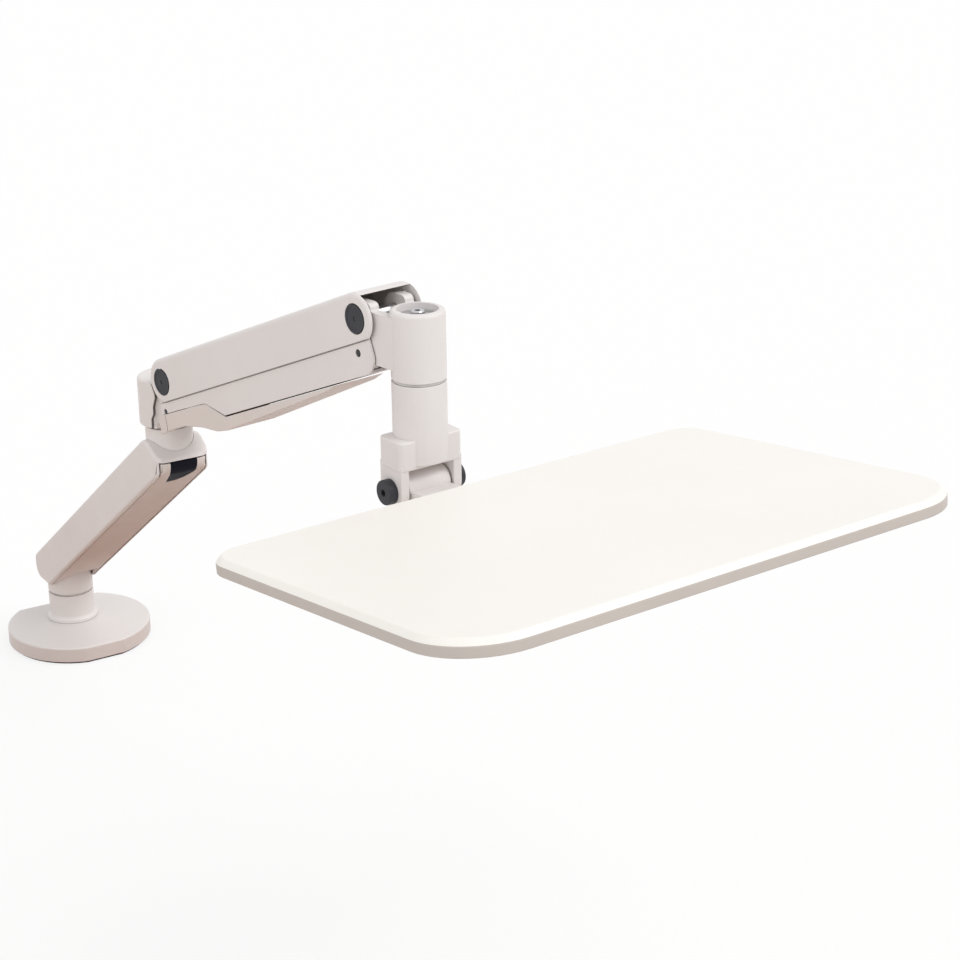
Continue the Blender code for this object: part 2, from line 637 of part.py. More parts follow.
shell_side = (arc(ARM_CROWN, (0.0, 0.0), 90.0, 235.0, 14)
              + arc(ARM_CROWN, (ARM_LENGTH, 0.0), -55.0, 90.0, 14))
shell = soften(plate([shell_side], -ARM_HALF, ARM_HALF, ARM), ARM_EDGE, 3)
trim = [(-60.0, ARM_SEAM), (-60.0, -80.0), (ARM_LENGTH + 60, -80.0), (ARM_LENGTH + 60, ARM_SEAM)]
roof = ARM_CROWN - ROOF_WALL
open_level = 15.5
inner = ([(-60.0, open_level), (-60.0, ARM_SEAM - 8.0), (ARM_LENGTH + 60, ARM_SEAM - 8.0),
          (ARM_LENGTH + 60, open_level)]
         + arc(roof, (ARM_LENGTH, 0.0), 61.2, 90.0, 3) + arc(roof, (0.0, 0.0), 90.0, 118.8, 3))
cut(shell, plate([trim], -40.0, 40.0, ARM, cutters))
cut(shell, plate([inner], -ARM_HALF + ARM_WALL, ARM_HALF - ARM_WALL, ARM, cutters))
rib = fillet([(SPRING_REACH - 12, ARM_CROWN - 1.0), (SPRING_REACH - 9, SPRING_LEVEL - 8, 7.0),
              (SPRING_REACH + 9, SPRING_LEVEL - 8, 7.0), (SPRING_REACH + 12, ARM_CROWN - 1.0)])
for low in (10.5, -15.5):
    add(shell, plate([rib], low, low + 5.0, ARM, cutters))


def arm_across(along, above):
    return ARM @ Matrix.Translation((along * MM, above * MM, 0.0))


SPRING_FRONT = arm_across(SPRING_REACH, SPRING_LEVEL)
bore(shell, SPRING_PIN + FIT, -20.0, 20.0, SPRING_FRONT)
for place in (REAR_TOP, FRONT_TOP):
    bore(shell, CAP_RADIUS + FIT, -40.0, 40.0, place, ROUND_STEPS)
TOP_HOLE = frame(PIVOT + ALONG * 8.5, ALONG, NEAR * -1.0, ABOVE)
bore(shell, 2.2 + FIT, 10.0, 30.0, TOP_HOLE, 16)
finish(shell, "upper_shell", WHITE_PAINT)
plug = turned([(0, ARM_CROWN + 1.2), (1.4, ARM_CROWN + 1.0), (2.2, ARM_CROWN + 0.3), (2.2, ARM_CROWN - 3.0),
               (0, ARM_CROWN - 3.0)], TOP_HOLE, 16)
finish(plug, "tension_screw_plug", GREY_PLASTIC)

# Lower shell and cable cover

low_front = ARM_LENGTH + LOW_E1
shell_under = -42.6
ramp = ((51.6, -27.9), (56.4, -28.8), (81.4, shell_under))
lower_side = fillet([
    (-13.0, LOWER_TOP), (-16.2, -17.0, 2.0), (-16.6, -21.0, 2.0), (-19.0, -26.9), *ramp,
    (low_front + 17.0, shell_under, 14.0), (low_front + 17.0, LOWER_TOP)])
lower = plate([lower_side], -LOWER_HALF, LOWER_HALF, ARM)
lower_inner = [(-60.0, 10.0), (-60.0, -60.0), (50.0, -60.0), (50.0, -25.6), (57.0, -26.4),
               (82.0, shell_under + LOWER_WALL), (low_front + 4.0, shell_under + LOWER_WALL),
               (low_front + 4.0, -70.0), (low_front + 60.0, -70.0), (low_front + 60.0, 10.0)]
cut(lower, plate([lower_inner], -LOWER_HALF + LOWER_WALL, LOWER_HALF - LOWER_WALL, ARM, cutters))
bore(lower, STUB_TIP + FIT, -40.0, 40.0, REAR_LOW, 16)
bore(lower, STUB_TIP + 3 * FIT, -40.0, 40.0, FRONT_LOW, 16)
finish(lower, "lower_shell", WHITE_PAINT)

gap_ramp = [(a - 0.12, b - FIT) for a, b in ramp]
cover_side = fillet([
    (-19.0, -26.9 - FIT), (-27.4, -32.0, 2.0), (-26.4, -36.8, 2.0), (-29.0, -43.0, 1.5), (-22.0, -43.0, 3.0),
    (-9.7, -42.0, 10.0), (14.9, -42.0, 30.0), (41.5, -47.2, 30.0), (62.0, -53.6, 20.0), (79.3, -55.2, 20.0),
    (172.0, -50.1, 60.0), (236.0, -46.6, 10.0), (250.0, shell_under - FIT),
    *reversed(gap_ramp)])
arm_cover = plate([cover_side], -LOWER_HALF, LOWER_HALF, ARM)
cover_inner = [(-60.0, 0.0), (-60.0, -60.0), (-8.0, -60.0), (-8.0, -39.8), (15.0, -39.8), (41.0, -44.9),
               (62.0, -51.2), (79.3, -52.8), (172.0, -47.8), (234.0, -44.5), (236.0, -30.0), (236.0, 0.0)]
cut(arm_cover, plate([cover_inner], -LOWER_HALF + LOWER_WALL, LOWER_HALF - LOWER_WALL, ARM, cutters))
bore(arm_cover, STUB_TIP + FIT, -40.0, 40.0, REAR_LOW, 16)
finish(arm_cover, "arm_cable_cover", PALE_PLASTIC)

# Gas spring

front_point = Vector((SPRING_REACH, SPRING_LEVEL))
rear_point = Vector((-SPRING_DROP * sin_deg(ARM_RISE), -SPRING_DROP * cos_deg(ARM_RISE)))
run = (rear_point - front_point).normalized()
spring_length = (rear_point - front_point).length
spring_z = ALONG * run.x + ABOVE * run.y
SPRING = frame(PIVOT + ALONG * SPRING_REACH + ABOVE * SPRING_LEVEL, NEAR, spring_z.cross(NEAR), spring_z)
cylinder = turned([(0, CYLINDER_END), (CYLINDER_RADIUS - 2, CYLINDER_END), (CYLINDER_RADIUS, CYLINDER_END - 2),
                   (CYLINDER_RADIUS, CYLINDER_START + 2), (CYLINDER_RADIUS - 2, CYLINDER_START),
                   (0, CYLINDER_START)], SPRING)
eye_half = 7.0
eye_tab = fillet([(CYLINDER_START + 1, -8.0), (CYLINDER_START + 1, 8.0), (-8.0, 8.0, 7.9), (-8.0, -8.0, 7.9)])
SPRING_SIDE = frame(PIVOT + ALONG * SPRING_REACH + ABOVE * SPRING_LEVEL, spring_z, NEAR.cross(spring_z), NEAR)
add(cylinder, plate([eye_tab], -eye_half, eye_half, SPRING_SIDE, cutters))
bore(cylinder, SPRING_PIN + FIT, -20.0, 20.0, SPRING_FRONT)
bore(cylinder, ROD_RADIUS + FIT, 40.0, CYLINDER_END + 5, SPRING)
finish(cylinder, "gas_cylinder", GREY_PLASTIC)

rod_start = 70.0
rod = disc(ROD_RADIUS, rod_start, spring_length - EYE_RADIUS + 2, SPRING, SMALL_STEPS)
add(rod, disc(EYE_RADIUS, -eye_half, eye_half, SPRING_REAR, ROUND_STEPS, cutters))
bore(rod, EYE_PIN + EYE_PLAY, -20.0, 20.0, SPRING_REAR, ROUND_STEPS)
finish(rod, "gas_rod", STEEL)
finish(disc(EYE_PIN, -EAR_OUTER + 0.5, EAR_OUTER - 0.5, SPRING_REAR, SMALL_STEPS, edge=0.4), "spring_rear_pin", STEEL)
finish(disc(SPRING_PIN, -15.0, 15.0, SPRING_FRONT, SMALL_STEPS, edge=0.4), "spring_front_pin", STEEL)

# Front knuckle and head post

front_ear = fillet([
    (TIP_REACH - EAR_RADIUS, TIP_HEIGHT + EAR_RADIUS, EAR_RADIUS - 0.1),
    (TIP_REACH - EAR_RADIUS, TIP_HEIGHT - LINK_DROP - EAR_RADIUS, EAR_RADIUS - 0.1),
    (TIP_REACH + EAR_RADIUS, TIP_HEIGHT - LINK_DROP - EAR_RADIUS, 9.0),
    (TIP_REACH + EAR_RADIUS, TIP_HEIGHT - LINK_DROP - 6.0), (HEAD_REACH - 4, TIP_HEIGHT - LINK_DROP - 6.0),
    (HEAD_REACH - 4, TIP_HEIGHT + 7.0), (TIP_REACH + EAR_RADIUS, TIP_HEIGHT + 7.0),
    (TIP_REACH + EAR_RADIUS, TIP_HEIGHT + EAR_RADIUS, 5.0)])
front = turned([(0, HEAD_TOP), (HEAD_RADIUS - 3, HEAD_TOP), (HEAD_RADIUS - 0.9, HEAD_TOP - 0.9),
                (HEAD_RADIUS, HEAD_TOP - 3), (HEAD_RADIUS, HEAD_BOTTOM + 0.6), (HEAD_RADIUS - 0.6, HEAD_BOTTOM),
                (0, HEAD_BOTTOM)], HEAD_AXIS)
for low in (EAR_INNER, -EAR_OUTER):
    add(front, plate([front_ear], low, low + EAR_OUTER - EAR_INNER, ELBOW_SIDE, cutters))
head_bush_outer = SHAFT_RADIUS + FIT + BUSH_WALL
bore(front, head_bush_outer + FIT, HEAD_BOTTOM - 20, HEAD_TOP + 20, HEAD_AXIS, ROUND_STEPS)
bore(front, RETAINER_RADIUS - 1.5, HEAD_TOP - 8.0, HEAD_TOP + 20, HEAD_AXIS, ROUND_STEPS)
for place, radius in ((FRONT_TOP, PIN_RADIUS), (FRONT_LOW, STUB_RADIUS)):
    bore(front, radius + FIT, -40.0, 40.0, place)
finish(front, "front_knuckle", WHITE_PAINT)

seat = HEAD_TOP - 8.0
finish(tube(head_bush_outer, SHAFT_RADIUS + FIT, HEAD_BOTTOM + 0.3, seat - 0.3, HEAD_AXIS), "head_bush", NYLON)
finish(tube(RETAINER_RADIUS - 2.2, SCREW_RADIUS + FIT, seat + FIT, seat + FIT + RETAINER_THICK, HEAD_AXIS,
            SMALL_STEPS), "head_retainer", STEEL)
head_screw_low = seat + RETAINER_THICK + 2 * FIT
finish(screw(HEAD_AXIS, SCREW_HEAD_RADIUS, head_screw_low, head_screw_low + SCREW_HEAD_HEIGHT, SCREW_RADIUS,
             seat - 18.0, 2.4), "head_retainer_screw", STEEL)
head_washer_low = HEAD_BOTTOM - FIT - WASHER_THICK
finish(tube(HEAD_RADIUS - 0.9, SHAFT_RADIUS + FIT, head_washer_low, HEAD_BOTTOM - FIT, HEAD_AXIS),
       "head_thrust_washer", NYLON)
post_top = head_washer_low - FIT
post_end = TILT_HEIGHT + BARREL_RADIUS + 9.5
fork_top = post_end + 19.5
head = turned([(0, seat), (SHAFT_RADIUS - 0.6, seat), (SHAFT_RADIUS, seat - 0.6), (SHAFT_RADIUS, post_top),
               (HEAD_RADIUS - 0.6, post_top), (HEAD_RADIUS, post_top - 0.6), (HEAD_RADIUS, post_end + 1.2),
               (HEAD_RADIUS - 1.2, post_end), (0, post_end)], HEAD_AXIS)
yoke_half = FORK_RADIUS + 0.8
yoke_end = FORK_OUTER + 0.8
yoke = fillet([(-yoke_end, -yoke_half, 5.0), (yoke_end, -yoke_half, 5.0), (yoke_end, yoke_half, 5.0),
               (-yoke_end, yoke_half, 5.0)])
bridge_low = TILT_HEIGHT + BARREL_RADIUS + 6.0
add(head, plate([yoke], bridge_low, fork_top, FORK, cutters))
cheek = fillet([(-FORK_RADIUS, -FORK_RADIUS, FORK_RADIUS - 0.1), (FORK_RADIUS, -FORK_RADIUS, FORK_RADIUS - 0.1),
                (FORK_RADIUS, bridge_low - TILT_HEIGHT + 4.0), (-FORK_RADIUS, bridge_low - TILT_HEIGHT + 4.0)])
for low in (FORK_INNER, -FORK_OUTER):
    add(head, plate([cheek], low, low + FORK_OUTER - FORK_INNER, FORK_SIDE, cutters))
bore(head, SCREW_RADIUS + FIT, seat - 20.0, seat + 5, HEAD_AXIS)
bore(head, TILT_BOLT + FIT, -40.0, 40.0, FORK_SIDE)
finish(head, "head_post", WHITE_PAINT)

# Tray bracket and tray

bracket_top = TRAY_UNDER - FIT
bracket_low = bracket_top - BRACKET_THICK
bracket = disc(BARREL_RADIUS, -BARREL_HALF, BARREL_HALF, TILT_SIDE, ROUND_STEPS)
neck = TRAY_REAR + 12.0
shoulder = TRAY_REAR - 6.0
bracket_end = TRAY_REAR - BRACKET_GRIP
neck_half = BARREL_HALF - 0.4
tongue = fillet([(-neck_half, 0.0), (-neck_half, neck, 20.0), (-BRACKET_HALF, shoulder, 8.0),
                 (-BRACKET_HALF, bracket_end, 12.0), (BRACKET_HALF, bracket_end, 12.0),
                 (BRACKET_HALF, shoulder, 8.0), (neck_half, neck, 20.0), (neck_half, 0.0)])
add(bracket, plate([tongue], bracket_low, bracket_top, TILT, cutters))
rib_low = bracket_low - RIB_HEIGHT
web = fillet([(-2.0, bracket_low + 1.0), (-4.0, -BARREL_RADIUS + 1.5), (-30.0, rib_low + 1.0, 6.0),
              (bracket_end + 30.0, bracket_low - 1.5, 1.0), (bracket_end + 24.0, bracket_low + 1.0)])
web_outer = BARREL_HALF - 0.8
for low in (-web_outer, web_outer - 4.0):
    add(bracket, plate([web], low, low + 4.0, TILT_SIDE, cutters))
bore(bracket, TILT_BOLT + FIT, -40.0, 40.0, FORK_SIDE)
screw_places = []
for row in SCREW_ROWS:
    for column in (-SCREW_COLUMN, SCREW_COLUMN):
        screw_places.append(TILT @ Matrix.Translation((column * MM, (TRAY_REAR - row) * MM, 0.0)))
for place in screw_places:
    bore(bracket, TRAY_SCREW + FIT, bracket_low - 5, bracket_top + 5, place, 16)
finish(bracket, "tray_bracket", WHITE_PAINT)

finish(disc(TILT_BOLT, -FORK_OUTER - 1.0, FORK_OUTER + 0.4, FORK_SIDE, SMALL_STEPS, edge=0.4), "tilt_pin", STEEL)
for side, flip in (("left", Matrix.Rotation(math.pi, 4, "Y")), ("right", Matrix.Identity(4))):
    washer_place = FORK_SIDE @ flip
    finish(tube(11.0, TILT_BOLT + FIT, BARREL_HALF + FIT, FORK_INNER - FIT, washer_place, SMALL_STEPS, 0.2),
           "tilt_washer_" + side, NYLON)
    knob_low = FORK_OUTER + FIT
    knob = turned([(0, knob_low + 7.0), (8.6, knob_low + 7.0), (9.8, knob_low + 5.8), (9.8, knob_low),
                   (TILT_BOLT + FIT, knob_low), (TILT_BOLT + FIT, knob_low + 1.3), (0, knob_low + 1.3)],
                  washer_place, SMALL_STEPS)
    cut(knob, plate([circle(3.0, steps=6)], knob_low + 4.0, knob_low + 9.0, washer_place, cutters))
    finish(knob, "tilt_nut_" + side, GREY_PLASTIC)

half_w = TRAY_WIDTH / 2
half_d = TRAY_DEPTH / 2
board_outline = fillet([(-half_w, -half_d, TRAY_FRONT_CORNER), (half_w, -half_d, TRAY_FRONT_CORNER),
                        (half_w, half_d, TRAY_REAR_CORNER), (-half_w, half_d, TRAY_REAR_CORNER)], 7.5)
board = plate([board_outline], -TRAY_THICK, 0.0, TRAY)
rounding = board.modifiers.new("Edge", "BEVEL")
rounding.width = TRAY_EDGE * MM
rounding.segments = 1
rounding.limit_method = "WEIGHT"
rounding.use_clamp_overlap = False
weights = board.data.attributes.new("bevel_weight_edge", "FLOAT", "EDGE")
for edge in board.data.edges:
    ends = [board.data.vertices[i].co.z for i in edge.vertices]
    rim = min(ends) > 0.0 and len([f for f in board.data.polygons if edge.key in f.edge_keys]) == 2
    flat = [f for f in board.data.polygons if edge.key in f.edge_keys and abs(f.normal.z) < 0.5]
    weights.data[edge.index].value = 1.0 if rim and flat else 0.0
for place in screw_places:
    bore(board, TRAY_SCREW + FIT, TRAY_UNDER - 5, TRAY_UNDER + TRAY_SCREW_DEPTH + 1, place, 16)
finish(board, "tray_board", BOARD)
for index, place in enumerate(screw_places, 1):
    tip = -(TRAY_UNDER + TRAY_SCREW_DEPTH)
    head_base = -bracket_low + FIT
    finish(screw(place @ FLIP, TRAY_SCREW_HEAD, head_base, head_base + 2.6, TRAY_SCREW, tip, 1.8),
           "tray_screw_{}".format(index), STEEL)

# Joint axes

AXES = {
    "base_swivel_axis": (None, Vector((0.0, 0.0, sleeve_low)), (
        "base_bush", "base_sleeve", "lower_link_casting", "lower_link_cover", "cable_port_plug", "elbow_post",
        "elbow_bush", "elbow_thrust_washer")),
    "elbow_swivel_axis": ("base_swivel_axis", elbow_point(0.0, KNUCKLE_BOTTOM), (
        "rear_knuckle", "elbow_spindle", "elbow_retainer", "elbow_retainer_screw", "rear_link_pin_near",
        "rear_link_pin_far", "spring_rear_pin")),
    "arm_lift_axis": ("elbow_swivel_axis", PIVOT, (
        "upper_shell", "rear_pivot_pin", "rear_pivot_cap_near", "rear_pivot_cap_far", "front_pivot_pin",
        "front_pivot_cap_near", "front_pivot_cap_far", "tension_screw_plug", "gas_cylinder", "spring_front_pin",
        "gas_rod")),
    "link_lift_axis": ("elbow_swivel_axis", LOW_PIVOT, ("lower_shell", "arm_cable_cover")),
    "front_level_axis": ("arm_lift_axis", elbow_point(TIP_REACH, TIP_HEIGHT), (
        "front_knuckle", "head_bush", "head_thrust_washer", "front_link_pin_near", "front_link_pin_far")),
    "head_swivel_axis": ("front_level_axis", elbow_point(HEAD_REACH, HEAD_BOTTOM), (
        "head_post", "head_retainer", "head_retainer_screw", "tilt_pin", "tilt_washer_left",
        "tilt_washer_right", "tilt_nut_left", "tilt_nut_right")),
    "tray_tilt_axis": ("head_swivel_axis", TILT_POINT, (
        "tray_bracket", "tray_board", "tray_screw_1", "tray_screw_2", "tray_screw_3", "tray_screw_4")),
}


def hang(child, parent):
    """Parent a piece without moving it."""
    child.parent = parent
    child.matrix_parent_inverse = parent.matrix_world.inverted()


for axis_name, (outer, point, carried) in AXES.items():
    axis = bpy.data.objects.new(axis_name, None)
    axis.matrix_world = Matrix.Translation(point * MM)
    axis.empty_display_size = 0.03
    axis.hide_render = True
    parts.objects.link(axis)
    if outer:
        hang(axis, bpy.data.objects[outer])
    for name in carried:
        hang(bpy.data.objects[name], axis)
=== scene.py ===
"""Looks of a laptop arm mount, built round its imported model.

Sizes in the shapes below are millimetres in the frame named with them; the finished meshes are in metres.
"""

import json
import math

import bmesh
import bpy
from bpy.props import FloatProperty, FloatVectorProperty, IntProperty, PointerProperty
from mathutils import Matrix, Vector


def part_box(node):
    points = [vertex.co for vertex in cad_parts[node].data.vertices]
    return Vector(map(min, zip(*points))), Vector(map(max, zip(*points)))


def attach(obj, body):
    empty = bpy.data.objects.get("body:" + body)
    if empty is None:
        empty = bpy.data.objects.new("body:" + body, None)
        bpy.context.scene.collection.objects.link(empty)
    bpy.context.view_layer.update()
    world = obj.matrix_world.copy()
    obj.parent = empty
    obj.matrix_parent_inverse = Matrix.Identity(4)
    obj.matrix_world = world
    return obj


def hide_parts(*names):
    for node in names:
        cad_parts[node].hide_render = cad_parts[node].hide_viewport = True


bl_info = {
    "name": "Laptop Arm Mount",
    "version": (1, 0, 0),
    "blender": (4, 5, 0),
    "location": "View3D > Sidebar > Arm Mount",
    "description": "Builds the castings, covers, caps and tray of a laptop arm round its packed model",
    "category": "Object",
}

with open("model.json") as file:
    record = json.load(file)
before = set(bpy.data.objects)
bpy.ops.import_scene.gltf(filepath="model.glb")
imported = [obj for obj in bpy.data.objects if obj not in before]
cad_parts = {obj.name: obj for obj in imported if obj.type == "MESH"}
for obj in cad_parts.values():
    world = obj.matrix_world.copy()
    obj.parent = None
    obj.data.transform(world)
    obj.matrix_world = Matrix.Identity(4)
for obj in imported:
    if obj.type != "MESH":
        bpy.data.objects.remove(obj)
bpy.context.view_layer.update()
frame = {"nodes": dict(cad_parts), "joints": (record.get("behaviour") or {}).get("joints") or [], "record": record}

MM = 0.001
JOINTS = {joint["name"]: joint for joint in frame["joints"]}
MOUNTS = {mount["name"]: mount for mount in frame["record"]["mounts"]}


# Frames of the arm

def axes(origin, x_axis, y_axis):
    """Placement whose local X and Y run the given ways, in metres."""
    x = Vector(x_axis).normalized()
    y = Vector(y_axis).normalized()
    turn = Matrix((x, y, x.cross(y))).transposed().to_4x4()
    turn.translation = Vector(origin)
    return turn


def on_axis(name):
    return Vector(JOINTS[name]["pos_m"])


def flat(point):
    return Vector((point.x, point.y, 0.0))


UP = Vector((0.0, 0.0, 1.0))
WORLD = Matrix.Identity(4)
SIDE = axes((0, 0, 0), (0, 1, 0), (0, 0, 1))
FRONT = axes((0, 0, 0), (1, 0, 0), (0, 0, 1))
NEAR = Vector(JOINTS["arm_lift"]["axis"]).normalized()
PIVOT = on_axis("arm_lift")
TIP = on_axis("front_level")
ALONG = (TIP - PIVOT).normalized()
ABOVE = NEAR.cross(ALONG)
FORWARD = UP.cross(NEAR)
RISE = math.asin(ALONG.z)
ARM_LENGTH = (TIP - PIVOT).length / MM
PIVOT_HEIGHT = PIVOT.z / MM
TIP_HEIGHT = TIP.z / MM
ELBOW = flat(on_axis("elbow_swivel"))
HEAD = flat(on_axis("head_swivel"))
PIVOT_REACH = (flat(PIVOT) - ELBOW).dot(FORWARD) / MM
TIP_REACH = (flat(TIP) - ELBOW).dot(FORWARD) / MM
HEAD_REACH = (HEAD - ELBOW).dot(FORWARD) / MM
LINK_DROP = (PIVOT - on_axis("link_lift")).z / MM
ELBOW_PLAN = axes(ELBOW, FORWARD, UP.cross(FORWARD))
ELBOW_SIDE = axes(ELBOW, FORWARD, UP)
ELBOW_AXIS = Matrix.Translation(ELBOW)
HEAD_AXIS = Matrix.Translation(HEAD)
ARM = axes(PIVOT, ALONG, ABOVE)
TILT_AXIS = Vector(JOINTS["tray_tilt"]["axis"])
TILT_POINT = on_axis("tray_tilt")
TRAY_UP = Vector(MOUNTS["tray_top"]["axis"])
TRAY_BACK = TRAY_UP.cross(TILT_AXIS)
TRAY = axes(MOUNTS["tray_top"]["pos_m"], TILT_AXIS, TRAY_BACK)
TILT = axes(TILT_POINT, TILT_AXIS, TRAY_BACK)
TILT_SIDE = axes(TILT_POINT, TRAY_BACK, TRAY_UP)
FORK = axes(HEAD, TILT_AXIS, UP.cross(TILT_AXIS))
FORK_SIDE = axes(TILT_POINT, UP.cross(TILT_AXIS), UP)
FLIP = Matrix.Rotation(math.pi, 4, "X")
SHARP_ANGLE = math.radians(38.0)
FIT = 0.3
POST_RADIUS = 21.0
POST_BORE = 15.6
PIN_HOLE = 5.3
STUB_HOLE = 4.3
EAR_INNER = 12.5
EAR_THICK = 8.2
EAR_RADIUS = 13.0
EAR_SIDES = (EAR_INNER, -EAR_INNER - EAR_THICK)


def across(place, a, b):
    """The same frame with its origin moved to (a, b)."""
    return place @ Matrix.Translation((a * MM, b * MM, 0.0))


def levels(name):
    """Heights of the bottom and the top of a CAD node."""
    low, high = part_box(name)
    return low.z / MM, high.z / MM


REAR_TOP = across(ELBOW_SIDE, PIVOT_REACH, PIVOT_HEIGHT)
REAR_LOW = across(ELBOW_SIDE, PIVOT_REACH, PIVOT_HEIGHT - LINK_DROP)
FRONT_TOP = across(ELBOW_SIDE, TIP_REACH, TIP_HEIGHT)
FRONT_LOW = across(ELBOW_SIDE, TIP_REACH, TIP_HEIGHT - LINK_DROP)


# Shapes

def prism(corners, low, high, place):
    """Closed body from (a, b) or (a, b, radius) corners, thick from low to high along local Z."""
    body = bmesh.new()
    points = [Vector(corner[:2]) for corner in corners]
    verts = [body.verts.new((p.x * MM, p.y * MM, low * MM)) for p in points]
    body.faces.new(verts)
    for i, corner in enumerate(corners):
        if len(corner) < 3:
            continue
        before = (points[i - 1] - points[i]).normalized()
        after = (points[(i + 1) % len(points)] - points[i]).normalized()
        half = math.acos(max(-1.0, min(1.0, before.dot(after)))) / 2
        turn = math.degrees(math.pi - 2 * half)
        bmesh.ops.bevel(body, geom=[verts[i]], offset=corner[2] / math.tan(half) * MM, offset_type="OFFSET",
                        affect="VERTICES", segments=max(2, round(turn / 7.5)), profile=0.5, material=-1,
                        clamp_overlap=False)
    bmesh.ops.remove_doubles(body, verts=body.verts, dist=0.00002)
    made = bmesh.ops.extrude_face_region(body, geom=body.faces[:])
    lifted = [item for item in made["geom"] if isinstance(item, bmesh.types.BMVert)]
    bmesh.ops.translate(body, vec=(0.0, 0.0, (high - low) * MM), verts=lifted)
    bmesh.ops.transform(body, matrix=place, verts=body.verts)
    bmesh.ops.recalc_face_normals(body, faces=body.faces)
    return body


def lathe(profile, place, steps=96, closed=False):
    """Closed body spun about local Z from (radius, height) points; a closed profile makes a ring."""
    body = bmesh.new()
    verts = [body.verts.new((r * MM, 0.0, z * MM)) for r, z in profile]
    edges = [body.edges.new(pair) for pair in zip(verts, verts[1:])]
    if closed:
        edges.append(body.edges.new((verts[-1], verts[0])))
    bmesh.ops.spin(body, geom=verts + edges, cent=(0, 0, 0), axis=(0, 0, 1), angle=2 * math.pi, steps=steps,
                   use_merge=True)
    bmesh.ops.remove_doubles(body, verts=body.verts, dist=0.000002)
    bmesh.ops.transform(body, matrix=place, verts=body.verts)
    bmesh.ops.recalc_face_normals(body, faces=body.faces)
    return body


def rod(radius, low, high, place, steps=64):
    """Plain round bar along local Z."""
    body = bmesh.new()
    bmesh.ops.create_cone(body, cap_ends=True, segments=steps, radius1=radius * MM, radius2=radius * MM,
                          depth=(high - low) * MM)
    bmesh.ops.translate(body, vec=(0.0, 0.0, (low + high) / 2 * MM), verts=body.verts)
    bmesh.ops.transform(body, matrix=place, verts=body.verts)
    return body


def ring(outer, inner, low, high, place, steps=96):
    return lathe([(inner, high), (outer, high), (outer, low), (inner, low)], place, steps, closed=True)


def ease(body, width, segments=3, angle=30.0, where=None):
    """Rounds the edges that turn more than the angle; where picks them by their middle point."""
    bmesh.ops.remove_doubles(body, verts=body.verts, dist=0.00005)
    edges = [edge for edge in body.edges
             if len(edge.link_faces) == 2 and edge.calc_face_angle(0.0) > math.radians(angle)
             and (where is None or where((edge.verts[0].co + edge.verts[1].co) / 2))]
    bmesh.ops.bevel(body, geom=edges, offset=width * MM, offset_type="OFFSET", affect="EDGES",
                    segments=segments, profile=0.5, material=-1, clamp_overlap=False)
    bmesh.ops.remove_doubles(body, verts=body.verts, dist=0.000002)
    return body


def cut(body, point, way, **how):
    bmesh.ops.bisect_plane(body, geom=body.verts[:] + body.edges[:] + body.faces[:], plane_co=point,
                           plane_no=way, **how)


def put(name, data):
    """A new object in the scene."""
    made = bpy.data.objects.new(name, data)
    bpy.context.scene.collection.objects.link(made)
    return made


def as_object(body, name):
    """Uses a body up to make an object."""
    mesh = bpy.data.meshes.new(name)
    body.to_mesh(mesh)
    body.free()
    return put(name, mesh)


def shaped(body, tools, operation="DIFFERENCE"):
    """Boolean of a closed body with each tool in turn; the bodies are used up and a new one comes back."""
    for tool in tools:
        pair = [as_object(form, "form") for form in (body, tool)]
        step = pair[0].modifiers.new("Shape", "BOOLEAN")
        step.operation = operation
        step.solver = "MANIFOLD"
        step.object = pair[1]
        bpy.context.view_layer.update()
        result = bpy.data.meshes.new_from_object(
            pair[0].evaluated_get(bpy.context.evaluated_depsgraph_get()))
        if not result.polygons:
            raise RuntimeError("a boolean left nothing of a piece")
        body = bmesh.new()
        body.from_mesh(result)
        spent = [piece.data for piece in pair]
        for piece in pair:
            bpy.data.objects.remove(piece)
        for mesh in [*spent, result]:
            bpy.data.meshes.remove(mesh)
    return body


def set_down(body, name, rides_on, look, slot, *nodes):
    """Turns a body into a finished piece that stands for its CAD nodes."""
    bmesh.ops.remove_doubles(body, verts=body.verts, dist=0.000001)
    piece = as_object(body, name)
    piece.data.shade_smooth()
    piece.data.set_sharp_from_angle(angle=SHARP_ANGLE)
    piece.data.materials.append(finish(look))
    normals = piece.modifiers.new("Normals", "WEIGHTED_NORMAL")
    normals.keep_sharp = True
    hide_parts(*nodes)
    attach(piece, rides_on)
    return piece


# Finishes

def node(tree, kind, outputs=0, **inputs):
    """Adds a shader node; inputs are sockets to link or values, by their names with spaces as underscores."""
    made = tree.nodes.new(kind)
    for name, value in inputs.items():
        plain = name.replace("_", " ")
        if hasattr(made, name) and plain not in made.inputs:
            setattr(made, name, value)
        elif isinstance(value, bpy.types.NodeSocket):
            tree.links.new(value, made.inputs[plain])
        else:
            made.inputs[plain].default_value = value
    return made.outputs[outputs]


def start(name, roughness, metallic=0.0):
    """A new material with its tree, shader and Object coordinates."""
    material = bpy.data.materials.new(name)
    material.use_nodes = True
    tree = material.node_tree
    shader = tree.nodes["Principled BSDF"]
    shader.inputs["Roughness"].default_value = roughness
    shader.inputs["Metallic"].default_value = metallic
    place = tree.nodes.new("ShaderNodeTexCoord").outputs["Object"]
    return material, tree, shader, place


def feed(target, **sources):
    """Links sockets to a node's inputs, which are named with underscores for spaces."""
    for name, source in sources.items():
        target.id_data.links.new(source, target.inputs[name.replace("_", " ")])


def worked(tree, kind, operation, *sources):
    """A node of a kind and operation, with its inputs set in their order."""
    made = tree.nodes.new(kind)
    if operation:
        made.operation = operation
    for socket, source in zip(made.inputs, sources):
        if isinstance(source, bpy.types.NodeSocket):
            tree.links.new(source, socket)
        else:
            socket.default_value = source
    return made.outputs[0]


